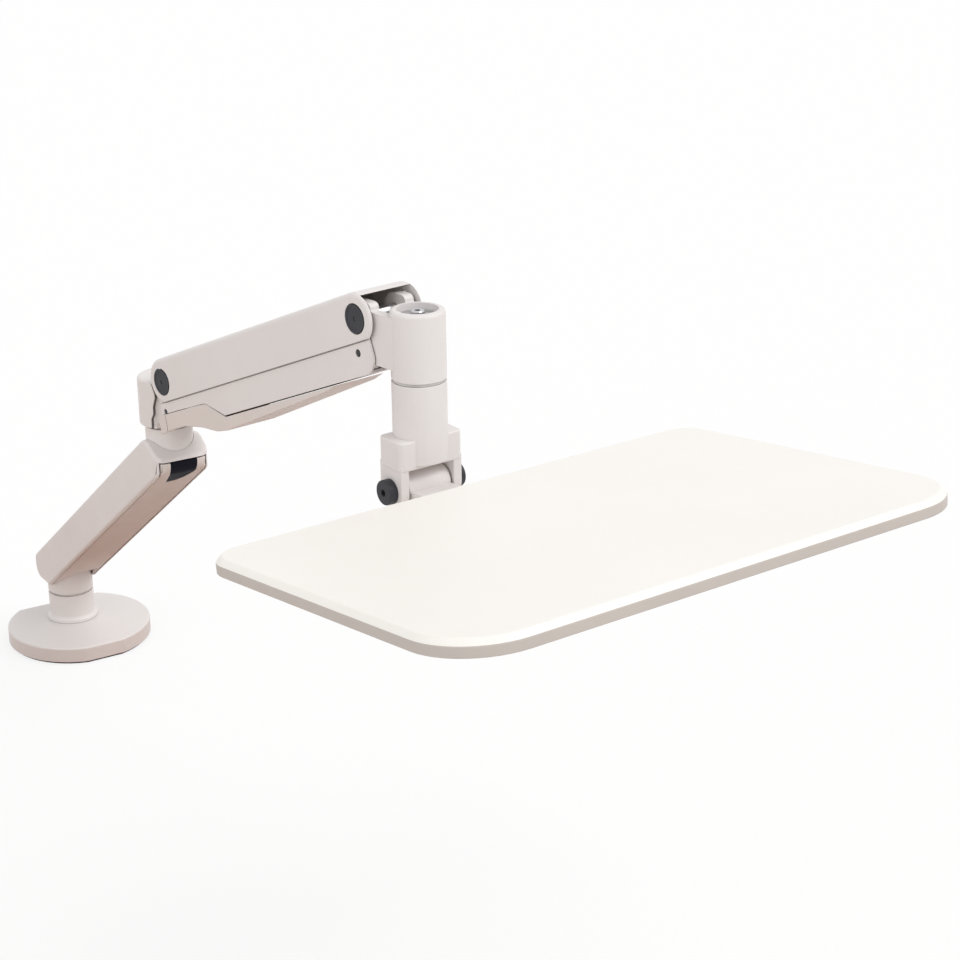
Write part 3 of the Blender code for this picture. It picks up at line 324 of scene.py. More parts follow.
def stretched(tree, place, scale, turn=(0.0, 0.0, 0.0)):
    """Coordinates turned and scaled, so that a pattern can run one way."""
    return node(tree, "ShaderNodeMapping", Vector=place, Rotation=turn, Scale=scale)


def noise(tree, place, scale, detail=2.0, roughness=0.5):
    return node(tree, "ShaderNodeTexNoise", Vector=place, Scale=scale, Detail=detail, Roughness=roughness)


def spread(tree, value, low=0.0, high=1.0, start_at=0.3, end_at=0.7):
    """Brings a noise to a range of its own."""
    return node(tree, "ShaderNodeMapRange", Value=value, From_Min=start_at, From_Max=end_at, To_Min=low,
                To_Max=high)


def tinted(tree, factor, first, second):
    """Colour between two colours, by a factor."""
    mix = tree.nodes.new("ShaderNodeMix")
    mix.data_type = "RGBA"
    tree.links.new(factor, mix.inputs["Factor"])
    for socket, value in ((mix.inputs[6], first), (mix.inputs[7], second)):
        if isinstance(value, bpy.types.NodeSocket):
            tree.links.new(value, socket)
        else:
            socket.default_value = (*value, 1.0)
    return mix.outputs[2]


def relief(tree, height, depth, strength=1.0, under=None):
    """Bump of the given depth in millimetres over another one."""
    bump = node(tree, "ShaderNodeBump", Strength=strength, Distance=depth * MM, Height=height)
    if under:
        feed(bump.node, Normal=under)
    return bump


def shade(colour, amount):
    return tuple(max(0.0, min(1.0, channel * amount)) for channel in colour)


def painted_seam_shade(tree, colour, depth=5.0, darkest=0.25):
    """Darkens a colour where the surface lies in a seam or a corner: painted shade, as a shadow gap would show."""
    open_air = node(tree, "ShaderNodeAmbientOcclusion", 1, Distance=depth * MM)
    open_air.node.samples = 8
    seam_shade_amount = spread(tree, open_air, 1.0, 0.0, 0.06, 0.5)
    dark = node(tree, "ShaderNodeVectorMath", operation="SCALE", Vector=colour, Scale=darkest)
    return tinted(tree, seam_shade_amount, colour, dark)


def powder_coat(name, colour, grain=520.0, depth=0.035):
    """Satin powder coat: a faint cloudiness, orange peel and a fine dry grain."""
    material, tree, shader, place = start(name, 0.4)
    cloud = spread(tree, noise(tree, place, 9.0, 4.0, 0.6))
    fleck = spread(tree, noise(tree, place, 1700.0, 1.0), 0.0, 1.0, 0.62, 0.78)
    base = tinted(tree, cloud, shade(colour, 0.972), shade(colour, 1.015))
    flecked = tinted(tree, fleck, base, shade(colour, 0.93))
    peel = relief(tree, noise(tree, place, grain, 2.0, 0.45), depth)
    # The base colour carries painted shade in seams and corners.
    feed(shader, Base_Color=painted_seam_shade(tree, flecked),
         Roughness=spread(tree, noise(tree, place, 45.0, 3.0), 0.34, 0.46),
         Normal=relief(tree, noise(tree, place, 2600.0, 1.0), 0.006, under=peel))
    return material


def moulded(name, colour, roughness=0.5, spark=900.0, depth=0.02, shine=0.5):
    """Injection-moulded plastic with a spark-eroded texture and slight flow marks."""
    material, tree, shader, place = start(name, roughness)
    flow = spread(tree, noise(tree, stretched(tree, place, (6.0, 1.5, 6.0)), 4.0, 4.0, 0.55))
    flowed = tinted(tree, flow, shade(colour, 0.965), shade(colour, 1.02))
    cells = node(tree, "ShaderNodeTexVoronoi", Vector=place, Scale=spark, Randomness=1.0)
    grain = worked(tree, "ShaderNodeMath", "ADD", cells, noise(tree, place, spark * 1.9, 2.0))
    # The base colour carries painted shade in seams and corners.
    feed(shader, Base_Color=painted_seam_shade(tree, flowed), Normal=relief(tree, grain, depth),
         Roughness=spread(tree, noise(tree, place, 70.0, 3.0), roughness - 0.05, roughness + 0.06))
    shader.inputs["Specular IOR Level"].default_value = shine
    return material


def laminate(name, colour):
    """Pressed white board face: a very fine pebble, a slight cloud and faint wipe marks."""
    material, tree, shader, place = start(name, 0.42)
    cloud = spread(tree, noise(tree, place, 6.0, 5.0, 0.62))
    clouded = tinted(tree, cloud, shade(colour, 0.985), shade(colour, 1.01))
    wipe = noise(tree, stretched(tree, place, (3.0, 40.0, 3.0), (0.0, 0.0, 0.4)), 3.0, 4.0, 0.6)
    pebble = node(tree, "ShaderNodeTexVoronoi", Vector=place, Scale=620.0, Randomness=0.9)
    soft = relief(tree, pebble, 0.02, 0.6)
    # The base colour carries painted shade in seams and corners.
    feed(shader, Base_Color=painted_seam_shade(tree, clouded, 4.0), Roughness=spread(tree, wipe, 0.36, 0.48),
         Normal=relief(tree, noise(tree, place, 1500.0, 2.0), 0.008, under=soft))
    return material


def plated(name, colour, roughness=0.3, way=(1.0, 1.0, 14.0)):
    """Zinc-plated or ground steel: streaks one way and cloudy passivation."""
    material, tree, shader, place = start(name, roughness, 1.0)
    streak = noise(tree, stretched(tree, place, way), 260.0, 3.0, 0.6)
    cloud = spread(tree, noise(tree, place, 120.0, 3.0))
    feed(shader, Base_Color=tinted(tree, cloud, shade(colour, 0.86), shade(colour, 1.06)),
         Roughness=spread(tree, streak, roughness - 0.08, roughness + 0.12),
         Normal=relief(tree, streak, 0.01))
    return material


def foot_rubber(name, colour):
    """Matt rubber with a pebbled face and pale dust in it."""
    material, tree, shader, place = start(name, 0.8)
    dust = spread(tree, noise(tree, place, 220.0, 4.0, 0.7), 0.0, 1.0, 0.5, 0.8)
    feed(shader, Base_Color=tinted(tree, dust, colour, shade(colour, 2.2)),
         Roughness=spread(tree, noise(tree, place, 300.0), 0.72, 0.9),
         Normal=relief(tree, noise(tree, place, 900.0, 2.0), 0.06))
    return material


def turned_nylon(name, colour):
    """Bearing nylon: waxy, with fine turning rings and dark grease in places."""
    material, tree, shader, place = start(name, 0.5)
    rings = noise(tree, stretched(tree, place, (1.0, 1.0, 30.0)), 90.0, 3.0)
    grease = spread(tree, noise(tree, place, 60.0, 4.0), 0.0, 1.0, 0.5, 0.75)
    feed(shader, Base_Color=tinted(tree, grease, colour, shade(colour, 0.6)),
         Roughness=spread(tree, rings, 0.4, 0.62), Normal=relief(tree, rings, 0.02))
    return material


FINISHES = {}


def finish(name):
    """The finish of that name, made once from the colours in the sidebar."""
    if name in FINISHES:
        return FINISHES[name]
    tint = bpy.context.scene.arm_colours
    makers = {
        "casting": (powder_coat, "casting_white", tint.casting),
        # Near-black casting colour laid on the knuckle's gap faces as a painted shadow.
        "shadow": (powder_coat, "casting_inside", shade(tint.casting, 0.12), 640.0, 0.03),
        "sheet": (powder_coat, "base_white", tint.casting, 640.0, 0.03),
        # The covers' warm, darker tone is partly their own plastic and partly painted warm bounce light from
        # below.
        "cover": (moulded, "cover_plastic", tint.cover, 0.5, 900.0, 0.02, 0.3),
        "port": (moulded, "port_plastic", tint.port, 0.58, 1200.0, 0.008, 0.06),
        "cap": (moulded, "cap_plastic", tint.cap, 0.5, 1000.0, 0.015, 0.3),
        "board": (laminate, "board_face", tint.board),
        # The board's side colour is darker partly as a grey edge band and partly as painted shade.
        "edge": (moulded, "board_edge", tint.edge, 0.46, 800.0, 0.02),
        "zinc": (plated, "zinc_plate", (0.58, 0.58, 0.6)),
        "ground": (plated, "ground_steel", (0.66, 0.66, 0.68), 0.2, (1.0, 1.0, 30.0)),
        "cylinder": (powder_coat, "cylinder_black", (0.03, 0.032, 0.036), 900.0, 0.01),
        "black": (plated, "black_oxide", (0.07, 0.07, 0.075), 0.42),
        "nylon": (turned_nylon, "bearing_nylon", (0.6, 0.58, 0.55)),
        "rubber": (foot_rubber, "foot_rubber", (0.028, 0.028, 0.03)),
    }
    maker, *values = makers[name]
    FINISHES[name] = maker(*values)
    return FINISHES[name]


# Settings

def length(name, description, default):
    return FloatProperty(name=name, description=description, default=default, unit="LENGTH")


def paint(name, description, default):
    return FloatVectorProperty(name=name, description=description, subtype="COLOR", default=default, min=0.0,
                               max=1.0)


class ArmSizes(bpy.types.PropertyGroup):
    """Sizes of the parts that show."""

    plate_radius: length("Plate radius", "Radius of the round base plate", 0.0719)
    plate_edge: length("Plate edge", "Rounding of the base plate's upper rim", 0.002)
    post_radius: length("Post radius", "Radius of the base's collar and sleeve", 0.0227)
    casting_edge: length("Casting edge", "Rounding of the lower link's edges", 0.003)
    arm_edge: length("Arm edge", "Rounding along the upper arm's top edges", 0.004)
    cap_radius: length("Cap radius", "Radius of the pivot caps", 0.0113)
    tray_width: length("Tray width", "Width of the tray board", 0.4405)
    tray_depth: length("Tray depth", "Depth of the tray board", 0.302)
    tray_thickness: length("Tray thickness", "Thickness of the tray board", 0.012)
    tray_edge: length("Tray edge", "Width of the slope round the tray's top", 0.0044)
    round_steps: IntProperty(name="Round steps", description="Sides of a full turned piece", default=96,
                             min=24, max=192)


class ArmColours(bpy.types.PropertyGroup):
    """Colours of the finishes."""

    casting: paint("Castings", "Powder coat of the castings", (0.79, 0.755, 0.74))
    # Warmer and darker than the castings partly as the covers' own plastic and partly as painted warm bounce light
    # from below.
    cover: paint("Covers", "Plastic of the cable covers", (0.75, 0.69, 0.655))
    port: paint("Port", "Plastic of the cable port's plug", (0.010, 0.011, 0.018))
    cap: paint("Caps", "Plastic of the pivot caps", (0.036, 0.038, 0.046))
    board: paint("Tray", "Face of the tray board", (0.95, 0.925, 0.88))
    # Darker partly as a grey edge band and partly as painted shade on the board's sides.
    edge: paint("Tray edge", "Side of the tray board", (0.55, 0.50, 0.46))


# Base

PLATE_CENTRE = -17.0
PLATE_FLATS = ((-86.4, -1.0), (40.5, 1.0))
BOLT_HEAD_HOLE = 8.0
BOLT_HEAD_DEPTH = 6.0
BOLT_HOLE = 4.3
COLLAR_BORE = 13.3
COLLAR_FOOT = 25.6


class MOUNT_OT_base(bpy.types.Operator):
    """Base plate, collar and sleeve"""

    bl_idname = "mount.base"
    bl_label = "Base"

    def execute(self, context):
        size = context.scene.arm_sizes
        radius = size.plate_radius / MM
        plate_low, plate_high = levels("base_plate")
        plate = rod(radius, plate_low, plate_high, Matrix.Translation((0.0, PLATE_CENTRE * MM, 0.0)), 144)
        for reach, way in PLATE_FLATS:
            cut(plate, (0.0, reach * MM, 0.0), (0.0, way, 0.0), clear_outer=True)
            rim = [edge for edge in plate.edges if edge.is_boundary]
            bmesh.ops.contextual_create(plate, geom=rim)
        bmesh.ops.recalc_face_normals(plate, faces=plate.faces)
        plate = shaped(plate, [rod(BOLT_HEAD_HOLE, plate_low - 5, plate_low + BOLT_HEAD_DEPTH, WORLD),
                               rod(BOLT_HOLE, plate_low, plate_high + 5, WORLD)])
        ease(plate, size.plate_edge / MM, 5,
             where=lambda p: p.z > (plate_high - 1) * MM and p.xy.length > 0.02)
        ease(plate, 0.8, 3, where=lambda p: p.z < (plate_low + 0.1) * MM and p.xy.length > 0.03)
        set_down(plate, "base_plate_painted", "base", "sheet", "white_steel", "base_plate")

        post = size.post_radius / MM
        low, high = levels("base_collar")
        collar = lathe([(COLLAR_BORE, high), (post, high), (post, low + 3.2), (COLLAR_FOOT, low + 2.2),
                        (COLLAR_FOOT, low), (COLLAR_BORE, low)], WORLD, size.round_steps, closed=True)
        ease(collar, 0.7, 3, where=lambda p: p.z > (high - 1) * MM and p.xy.length > 0.02)
        ease(collar, 3.0, 6, where=lambda p: (low + 3) * MM < p.z < (low + 4) * MM, angle=12)
        ease(collar, 0.8, 3, where=lambda p: (low + 1) * MM < p.z < (low + 3) * MM and p.xy.length > 0.0253)
        set_down(collar, "base_collar_painted", "base", "casting", "white_casting", "base_collar")

        low, high = levels("base_sleeve")
        sleeve = ring(post, POST_BORE, low, high, WORLD, size.round_steps)
        ease(sleeve, 0.7, 3, where=lambda p: p.xy.length > 0.02)
        set_down(sleeve, "base_sleeve_painted", "lower_link", "casting", "white_casting", "base_sleeve")
        return {"FINISHED"}


# Lower link

LINK_TURN = math.radians(34.8)
LINK_TOP = 82.0
LINK_UNDER = 43.7
LINK_HALF = 26.0
LINK_FRONT = -314.0
LINK_FOOT = 58.5
LINK_SEAM = 281.2
SEAM_GAP = 0.9
BOSS_RADIUS = 24.5
COVER_HALF = 22.2
COVER_WALL = 3.0
COVER_START = -9.5
SLEEVE_ROOM = 23.0


def link_level(offset, y):
    """Height of a line that runs along the lower link at an offset from its foot."""
    return (offset - y * math.sin(LINK_TURN)) / math.cos(LINK_TURN)


def link_plan():
    half = LINK_HALF + 0.06
    return prism([(-half, 32.0), (-half, LINK_FRONT, 12.0), (half, LINK_FRONT, 12.0), (half, 32.0)], 0.0,
                 400.0, WORLD)


def link_cover_body(half):
    """The J-shaped wall of the lower link's underside and front."""
    front_in = LINK_FRONT + 5.0
    return prism([
        (COVER_START, link_level(LINK_UNDER, COVER_START)),
        (LINK_FRONT, link_level(LINK_UNDER, LINK_FRONT), 13.0),
        (LINK_FRONT, LINK_SEAM - SEAM_GAP), (front_in, LINK_SEAM - SEAM_GAP),
        (front_in, link_level(LINK_UNDER + COVER_WALL, front_in), 14.0),
        (COVER_START, link_level(LINK_UNDER + COVER_WALL, COVER_START))], -half[0], half[1], SIDE)


def port_body(grow, reach):
    """Cable port seen from the front: slanted on the left, round at the lower right."""
    return prism([(-13.0 - grow, LINK_SEAM + 3.0), (-12.6 - grow, 270.0, 12.0),
                  (-8.0 - 2 * grow, 254.7 - grow), (5.0, 256.0 - grow, 12.0),
                  (12.2 + grow, 266.0 - grow, 6.0), (12.2 + grow, LINK_SEAM + 3.0)],
                 -LINK_FRONT - 25.0 - reach, -LINK_FRONT + 10.0 + reach, FRONT)


class MOUNT_OT_lower_link(bpy.types.Operator):
    """Lower link casting, its cable cover and the port plug"""

    bl_idname = "mount.lower_link"
    bl_label = "Lower link"

    def execute(self, context):
        size = context.scene.arm_sizes
        turn_sin = math.sin(LINK_TURN)
        turn_cos = math.cos(LINK_TURN)
        foot = -(LINK_FOOT * turn_cos - LINK_UNDER) / turn_sin
        casting = prism([(27.0, LINK_FOOT, 13.0), (foot, LINK_FOOT, 8.0),
                         (LINK_FRONT, link_level(LINK_UNDER, LINK_FRONT), 13.0),
                         (LINK_FRONT, LINK_SEAM + 1.5, 7.0), (-288.0, link_level(LINK_TOP, -288.0), 18.0),
                         (27.0, link_level(LINK_TOP, 27.0), 8.0)], -LINK_HALF, LINK_HALF, SIDE)
        casting = shaped(casting, [link_plan()], "INTERSECT")
        ease(casting, size.casting_edge / MM, 5, angle=55)
        room = COVER_HALF + FIT
        inner = LINK_TOP - 3.5
        cavity = prism([(-27.0, 30.0), (-27.0, link_level(inner, -27.0), 4.0),
                        (-287.0, link_level(inner, -287.0), 15.0), (LINK_FRONT + 4, LINK_SEAM + FIT),
                        (LINK_FRONT - 10, LINK_SEAM + FIT), (LINK_FRONT - 10, 200.0)], -room, room, SIDE)
        roof = LINK_UNDER + COVER_WALL + FIT
        recess = prism([(-9.2, 40.0), (-9.2, link_level(roof, -9.2)), (-28.0, link_level(roof, -28.0)),
                        (-28.0, 40.0)], -room, room, SIDE)
        boss_front = LINK_FRONT + 6.7 - ELBOW.y / MM
        boss = rod(BOSS_RADIUS, 275.0, LINK_SEAM + 6, ELBOW_AXIS, 96)
        keep = prism([(-40.0, boss_front), (40.0, boss_front), (40.0, 40.0), (-40.0, 40.0)], 260.0, 300.0,
                     ELBOW_AXIS)
        boss = shaped(boss, [keep], "INTERSECT")
        sleeve_top = levels("base_sleeve")[1]
        casting = shaped(casting, [cavity, recess, rod(SLEEVE_ROOM, 30.0, sleeve_top + FIT, WORLD, 96),
                                   rod(18.5, sleeve_top - 2, 81.9, WORLD, 64)])
        casting = shaped(casting, [boss], "UNION")
        casting = shaped(casting, [rod(POST_RADIUS + FIT, 255.0, 340.0, ELBOW_AXIS, 96)])
        set_down(casting, "link_casting", "lower_link", "casting", "white_casting", "lower_link_casting")

        side = COVER_HALF - SEAM_GAP
        cover = shaped(link_cover_body((side, side)), [link_plan()], "INTERSECT")
        ease(cover, 0.9, 3, angle=40)
        notch = prism([(-7.0, -5.0), (-7.0, -33.0, 3.0), (19.0, -33.0, 3.0), (19.0, -5.0)], 30.0, 120.0,
                      WORLD)
        cover = shaped(cover, [rod(SLEEVE_ROOM + FIT, 30.0, 120.0, WORLD, 96), notch, port_body(FIT, 0.0)])
        set_down(cover, "link_cover", "lower_link", "cover", "pale_plastic", "lower_link_cover")

        plug = shaped(link_cover_body((18.0, 13.0)), [port_body(0.0, 2.0)], "INTERSECT")
        ease(plug, 0.5, 3, angle=40)
        set_down(plug, "port_plug", "lower_link", "port", "black_plastic", "cable_port_plug")
        return {"FINISHED"}


# Elbow

KNUCKLE_RADIUS = 25.2
KNUCKLE_HALF = 25.0
KNUCKLE_DROP = 6.0
WAIST_HALF = 21.0
CHEEK_HALF = 24.9
CHEEK_THICK = 4.9
# GAP_OUTER and GAP_INNER bound the band across the knuckle that is painted as shadow.
GAP_OUTER = 24.4
GAP_INNER = 22.0
SPRING_PIN = 3.0


class MOUNT_OT_elbow(bpy.types.Operator):
    """Elbow post and the rear knuckle that turns on it"""

    bl_idname = "mount.elbow"
    bl_label = "Elbow"

    def execute(self, context):
        size = context.scene.arm_sizes
        low, high = levels("elbow_post")
        post = ring(POST_RADIUS, POST_BORE, low, high, ELBOW_AXIS, size.round_steps)
        ease(post, 0.6, 3, where=lambda p: (p - ELBOW).xy.length > 0.02)
        set_down(post, "elbow_post_painted", "lower_link", "casting", "white_casting", "elbow_post")

        low = levels("rear_knuckle")[0]
        top = PIVOT_HEIGHT - KNUCKLE_DROP
        block = rod(KNUCKLE_RADIUS, low, top, ELBOW_AXIS, 128)
        plan = prism([(-40.0, -KNUCKLE_HALF), (8.0, -KNUCKLE_HALF, 4.5), (12.0, -WAIST_HALF, 3.0),
                      (14.0, -WAIST_HALF), (14.0, WAIST_HALF), (12.0, WAIST_HALF, 3.0),
                      (8.0, KNUCKLE_HALF, 4.5), (-40.0, KNUCKLE_HALF)], low - 1, top + 1, ELBOW_PLAN)
        block = shaped(block, [plan], "INTERSECT")
        ease(block, 3.6, 6, angle=25, where=lambda p: p.z > (top - 1) * MM)
        ease(block, 1.2, 3, angle=25, where=lambda p: p.z < (low + 1) * MM)
        swing = PIVOT_HEIGHT - LINK_DROP
        ear_low = swing - EAR_RADIUS
        ear_back = PIVOT_REACH - EAR_RADIUS
        ear_front = PIVOT_REACH + EAR_RADIUS
        ear_top = PIVOT_HEIGHT + EAR_RADIUS
        ears = []
        for side in EAR_SIDES:
            ears.append(prism([(6.0, low + 4.0), (24.0, ear_low, 4.0), (ear_front, ear_low, EAR_RADIUS),
                               (ear_front, ear_top, EAR_RADIUS), (ear_back, ear_top, EAR_RADIUS),
                               (ear_back, top - 4, 2.0), (6.0, top - 4)], side, side + EAR_THICK, ELBOW_SIDE))
        for side in (CHEEK_HALF - CHEEK_THICK, -CHEEK_HALF):
            ears.append(prism([(2.0, low + 1.0), (11.4, low + 1.0, 2.0), (11.4, swing - 12.5, 4.0),
                               (15.2, swing - 7.0, 4.0), (15.4, swing, 6.0), (19.5, swing + 9.0, 3.0),
                               (19.0, swing + 12.5, 2.0), (15.8, swing + 18.2), (14.6, swing + 20.4, 1.0),
                               (2.0, swing + 20.4)], side, side + CHEEK_THICK, ELBOW_SIDE))
        block = shaped(block, [*ears, rod(POST_RADIUS, low + 0.001, low + 3.8, ELBOW_AXIS, 96)], "UNION")
        spring_drop = PIVOT_HEIGHT - levels("spring_rear_pin")[0] - SPRING_PIN
        block = shaped(block, [rod(13.3, low - 10, PIVOT_HEIGHT - 9.7, ELBOW_AXIS, 64),
                               rod(PIN_HOLE, -40, 40, REAR_TOP, 48), rod(STUB_HOLE, -40, 40, REAR_LOW, 48),
                               rod(SPRING_PIN + FIT, -40, 40, across(REAR_TOP, 0.0, -spring_drop), 32)])
        # Forward faces in the band round the arm's end get the near-black finish: a painted shadow in the gap
        # between knuckle and arm.
        for level in (-GAP_OUTER, -GAP_INNER, GAP_INNER, GAP_OUTER):
            cut(block, ELBOW + NEAR * level * MM, NEAR)
        for face in block.faces:
            middle = (face.calc_center_median() - ELBOW) / MM
            in_gap = GAP_INNER < abs(middle.dot(NEAR)) < GAP_OUTER and middle.dot(FORWARD) > 8.0
            below = middle.z < swing + 19.2
            face.material_index = int(in_gap and below and face.normal.dot(FORWARD) > 0.1)
        piece = set_down(block, "knuckle_casting", "rear_knuckle_body", "casting", "white_casting",
                         "rear_knuckle")
        piece.data.materials.append(finish("shadow"))
        return {"FINISHED"}


# Upper arm

ARM_HALF = 26.0
ARM_CROWN = 20.0
ARM_SEAM = -17.0
LOWER_HALF = 23.7
SHELL_WALL = 2.0
SHELL_UNDER = -42.6
LOWER_WALL = 2.2
COVER_GAP = 1.2
CAP_GAP = 0.7
GROOVE_DEPTH = 1.2
RIB_SIDES = (10.5, -15.5)
RIB_THICK = 5.0
STUB_TIP_HOLE = 2.5
PLUG_RADIUS = 2.2
PLUG_ALONG = 8.5
PLUG_PLACE = axes(PIVOT + ALONG * PLUG_ALONG * MM, ALONG, -NEAR)


class MOUNT_OT_upper_arm(bpy.types.Operator):
    """Upper shell, lower shell and the cable cover of the arm"""

    bl_idname = "mount.upper_arm"
    bl_label = "Upper arm"

    def execute(self, context):
        size = context.scene.arm_sizes
        end = ARM_LENGTH
        shell = prism([(0.0, ARM_CROWN), (-ARM_CROWN, ARM_CROWN, ARM_CROWN),
                       (-ARM_CROWN, -ARM_CROWN, ARM_CROWN),
                       (end + ARM_CROWN, -ARM_CROWN, ARM_CROWN), (end + ARM_CROWN, ARM_CROWN, ARM_CROWN)],
                      -ARM_HALF, ARM_HALF, ARM)
        ease(shell, size.arm_edge / MM, 6, angle=40)
        trim = prism([(-60, ARM_SEAM), (-60, -80), (end + 60, -80), (end + 60, ARM_SEAM)], -40, 40, ARM)
        roof = ARM_CROWN - 2.3
        inner = prism([(-60, 15.5), (-60, ARM_SEAM - 8), (end + 60, ARM_SEAM - 8), (end + 60, 15.5),
                       (end + 8.5, 15.5), (end, roof, 20.0), (0.0, roof, 20.0), (-8.5, 15.5)],
                      -ARM_HALF + SHELL_WALL, ARM_HALF - SHELL_WALL, ARM)
        shell = shaped(shell, [trim, inner])
        reach = 200.0
        ribs = [prism([(reach - 12, ARM_CROWN - 1), (reach - 9, -9.0, 7.0), (reach + 9, -9.0, 7.0),
                       (reach + 12, ARM_CROWN - 1)], side, side + RIB_THICK, ARM) for side in RIB_SIDES]
        shell = shaped(shell, ribs, "UNION")
        cap_hole = size.cap_radius / MM + CAP_GAP
        shell = shaped(shell, [rod(STUB_HOLE, -20, 20, across(ARM, reach, -1.0), 32),
                               rod(cap_hole, -40, 40, REAR_TOP, 96), rod(cap_hole, -40, 40, FRONT_TOP, 96),
                               rod(PLUG_RADIUS + FIT, 10, 30, PLUG_PLACE, 32)])
        set_down(shell, "arm_upper_shell", "upper_arm", "casting", "white_casting", "upper_shell")

        front = end - LINK_DROP * math.sin(RISE)
        wall = LOWER_HALF - LOWER_WALL
        lower = prism([(-13.0, -13.0), (-16.2, -17.0, 2.0), (-16.6, -21.0, 2.0), (-19.0, -26.9),
                       (51.6, -27.9), (56.4, -28.8, 3.0), (81.4, SHELL_UNDER),
                       (front + 17, SHELL_UNDER, 14.0), (front + 17, -13.0)], -LOWER_HALF, LOWER_HALF, ARM)
        ease(lower, 0.5, 3, angle=50)
        floor = SHELL_UNDER + LOWER_WALL
        hollow = prism([(-60, 10), (-60, -60), (50, -60), (50, -25.6), (57, -26.4), (82, floor),
                        (front + 4, floor), (front + 4, -70), (front + 60, -70), (front + 60, 10)],
                       -wall, wall, ARM)
        grooves = [prism([(-40, ARM_SEAM - 1.1), (-40, ARM_SEAM + 0.1), (end + 60, ARM_SEAM + 0.1),
                          (end + 60, ARM_SEAM - 1.1)], low, low + 3.0, ARM)
                   for low in (LOWER_HALF - GROOVE_DEPTH, -LOWER_HALF + GROOVE_DEPTH - 3.0)]
        lower = shaped(lower, [hollow, *grooves, rod(STUB_TIP_HOLE, -40, 40, REAR_LOW, 32),
                               rod(3.1, -40, 40, FRONT_LOW, 32)])
        set_down(lower, "arm_lower_shell", "lower_arm", "casting", "white_casting", "lower_shell")

        cover = prism([(-19.0, -27.2), (-27.4, -32.0, 2.0), (-26.4, -36.8, 2.0), (-29.0, -43.0, 1.5),
                       (-22.0, -43.0, 3.0), (-9.7, -42.0, 10.0), (14.9, -42.0, 30.0), (41.5, -47.2, 30.0),
                       (62.0, -53.6, 20.0), (79.3, -55.2, 20.0), (172.0, -50.1, 60.0), (236.0, -46.6, 10.0),
                       (250.0, SHELL_UNDER - COVER_GAP), (81.28, SHELL_UNDER - COVER_GAP),
                       (56.28, -29.1, 3.0), (51.48, -28.2)], -LOWER_HALF, LOWER_HALF, ARM)
        ease(cover, 0.8, 3, angle=50, where=lambda p: abs((p - PIVOT).dot(NEAR)) > (LOWER_HALF - 0.1) * MM)
        hollow = prism([(-60, 0), (-60, -60), (-8, -60), (-8, -39.8), (15, -39.8), (41, -44.9),
                        (62, -51.2), (79.3, -52.8), (172, -47.8), (234, -44.5), (236, -30), (236, 0)],
                       -wall, wall, ARM)
        tabs = [prism([(-12.6, -26.0), (-14.3, -36.5), (-16.9, -46.0), (-17.7, -46.0), (-15.1, -36.5),
                       (-13.4, -26.0)], low, low + 3.0, ARM) for low in (LOWER_HALF - 1.0, -LOWER_HALF - 2.0)]
        cover = shaped(cover, [hollow, *tabs, rod(STUB_TIP_HOLE, -40, 40, REAR_LOW, 32)])
        set_down(cover, "arm_cover", "lower_arm", "cover", "pale_plastic", "arm_cable_cover")
        return {"FINISHED"}


class MOUNT_OT_caps(bpy.types.Operator):
    """Pivot caps at both ends of the arm and the small plug on its top"""

    bl_idname = "mount.caps"
    bl_label = "Caps"

    def execute(self, context):
        radius = context.scene.arm_sizes.cap_radius / MM
        pin_end = ARM_HALF - 1.2
        inside = ARM_HALF - 1.8
        for end, place in (("rear", REAR_TOP), ("front", FRONT_TOP)):
            for side, turn in (("near", WORLD), ("far", FLIP)):
                seat = place @ turn
                cap = lathe([(0.0, ARM_HALF), (radius - 2.0, ARM_HALF), (radius - 1.7, ARM_HALF + 0.45),
                             (radius, ARM_HALF + 0.45), (radius, inside), (PIN_HOLE, inside),
                             (PIN_HOLE, pin_end + FIT), (0.0, pin_end + FIT)], seat)
                ease(cap, 0.25, 3, angle=25)
                cap = shaped(cap, [rod(2.0, ARM_HALF - 0.4, ARM_HALF + 2, seat, 6)])
                name = "{}_pivot_cap_{}".format(end, side)
                set_down(cap, name + "_moulded", "upper_arm", "cap", "grey_plastic", name)
        plug = lathe([(0.0, ARM_CROWN + 2.0), (PLUG_RADIUS, ARM_CROWN + 2.0),
                      (PLUG_RADIUS, ARM_CROWN - 3.0), (0.0, ARM_CROWN - 3.0)], PLUG_PLACE, 32)
        ease(plug, 0.8, 4, where=lambda p: (p - PIVOT).dot(ABOVE) > ARM_CROWN * MM)
        set_down(plug, "tension_plug", "upper_arm", "cover", "grey_plastic", "tension_screw_plug")
        return {"FINISHED"}


# Head

HEAD_RISE = 12.2
HEAD_LENGTH = 53.0
SEAT_DEPTH = 8.0
SHAFT_RADIUS = 9.0
CHEEK_RADIUS = 14.0
KNOB_RADIUS = 9.8
KNOB_LOW = 28.3
KNOB_LENGTH = 7.0
WASHER_THICK = 1.6
BUSH_BORE = 11.6
SEAT_BORE = 16.0
SCREW_BORE = 3.3
FORK_HALF = 28.8
FORK_DEPTH = 14.8
FORK_BRIDGE = 18.0
CHEEK_SIDES = (20.6, -28.0)
CHEEK_WALL = 7.4


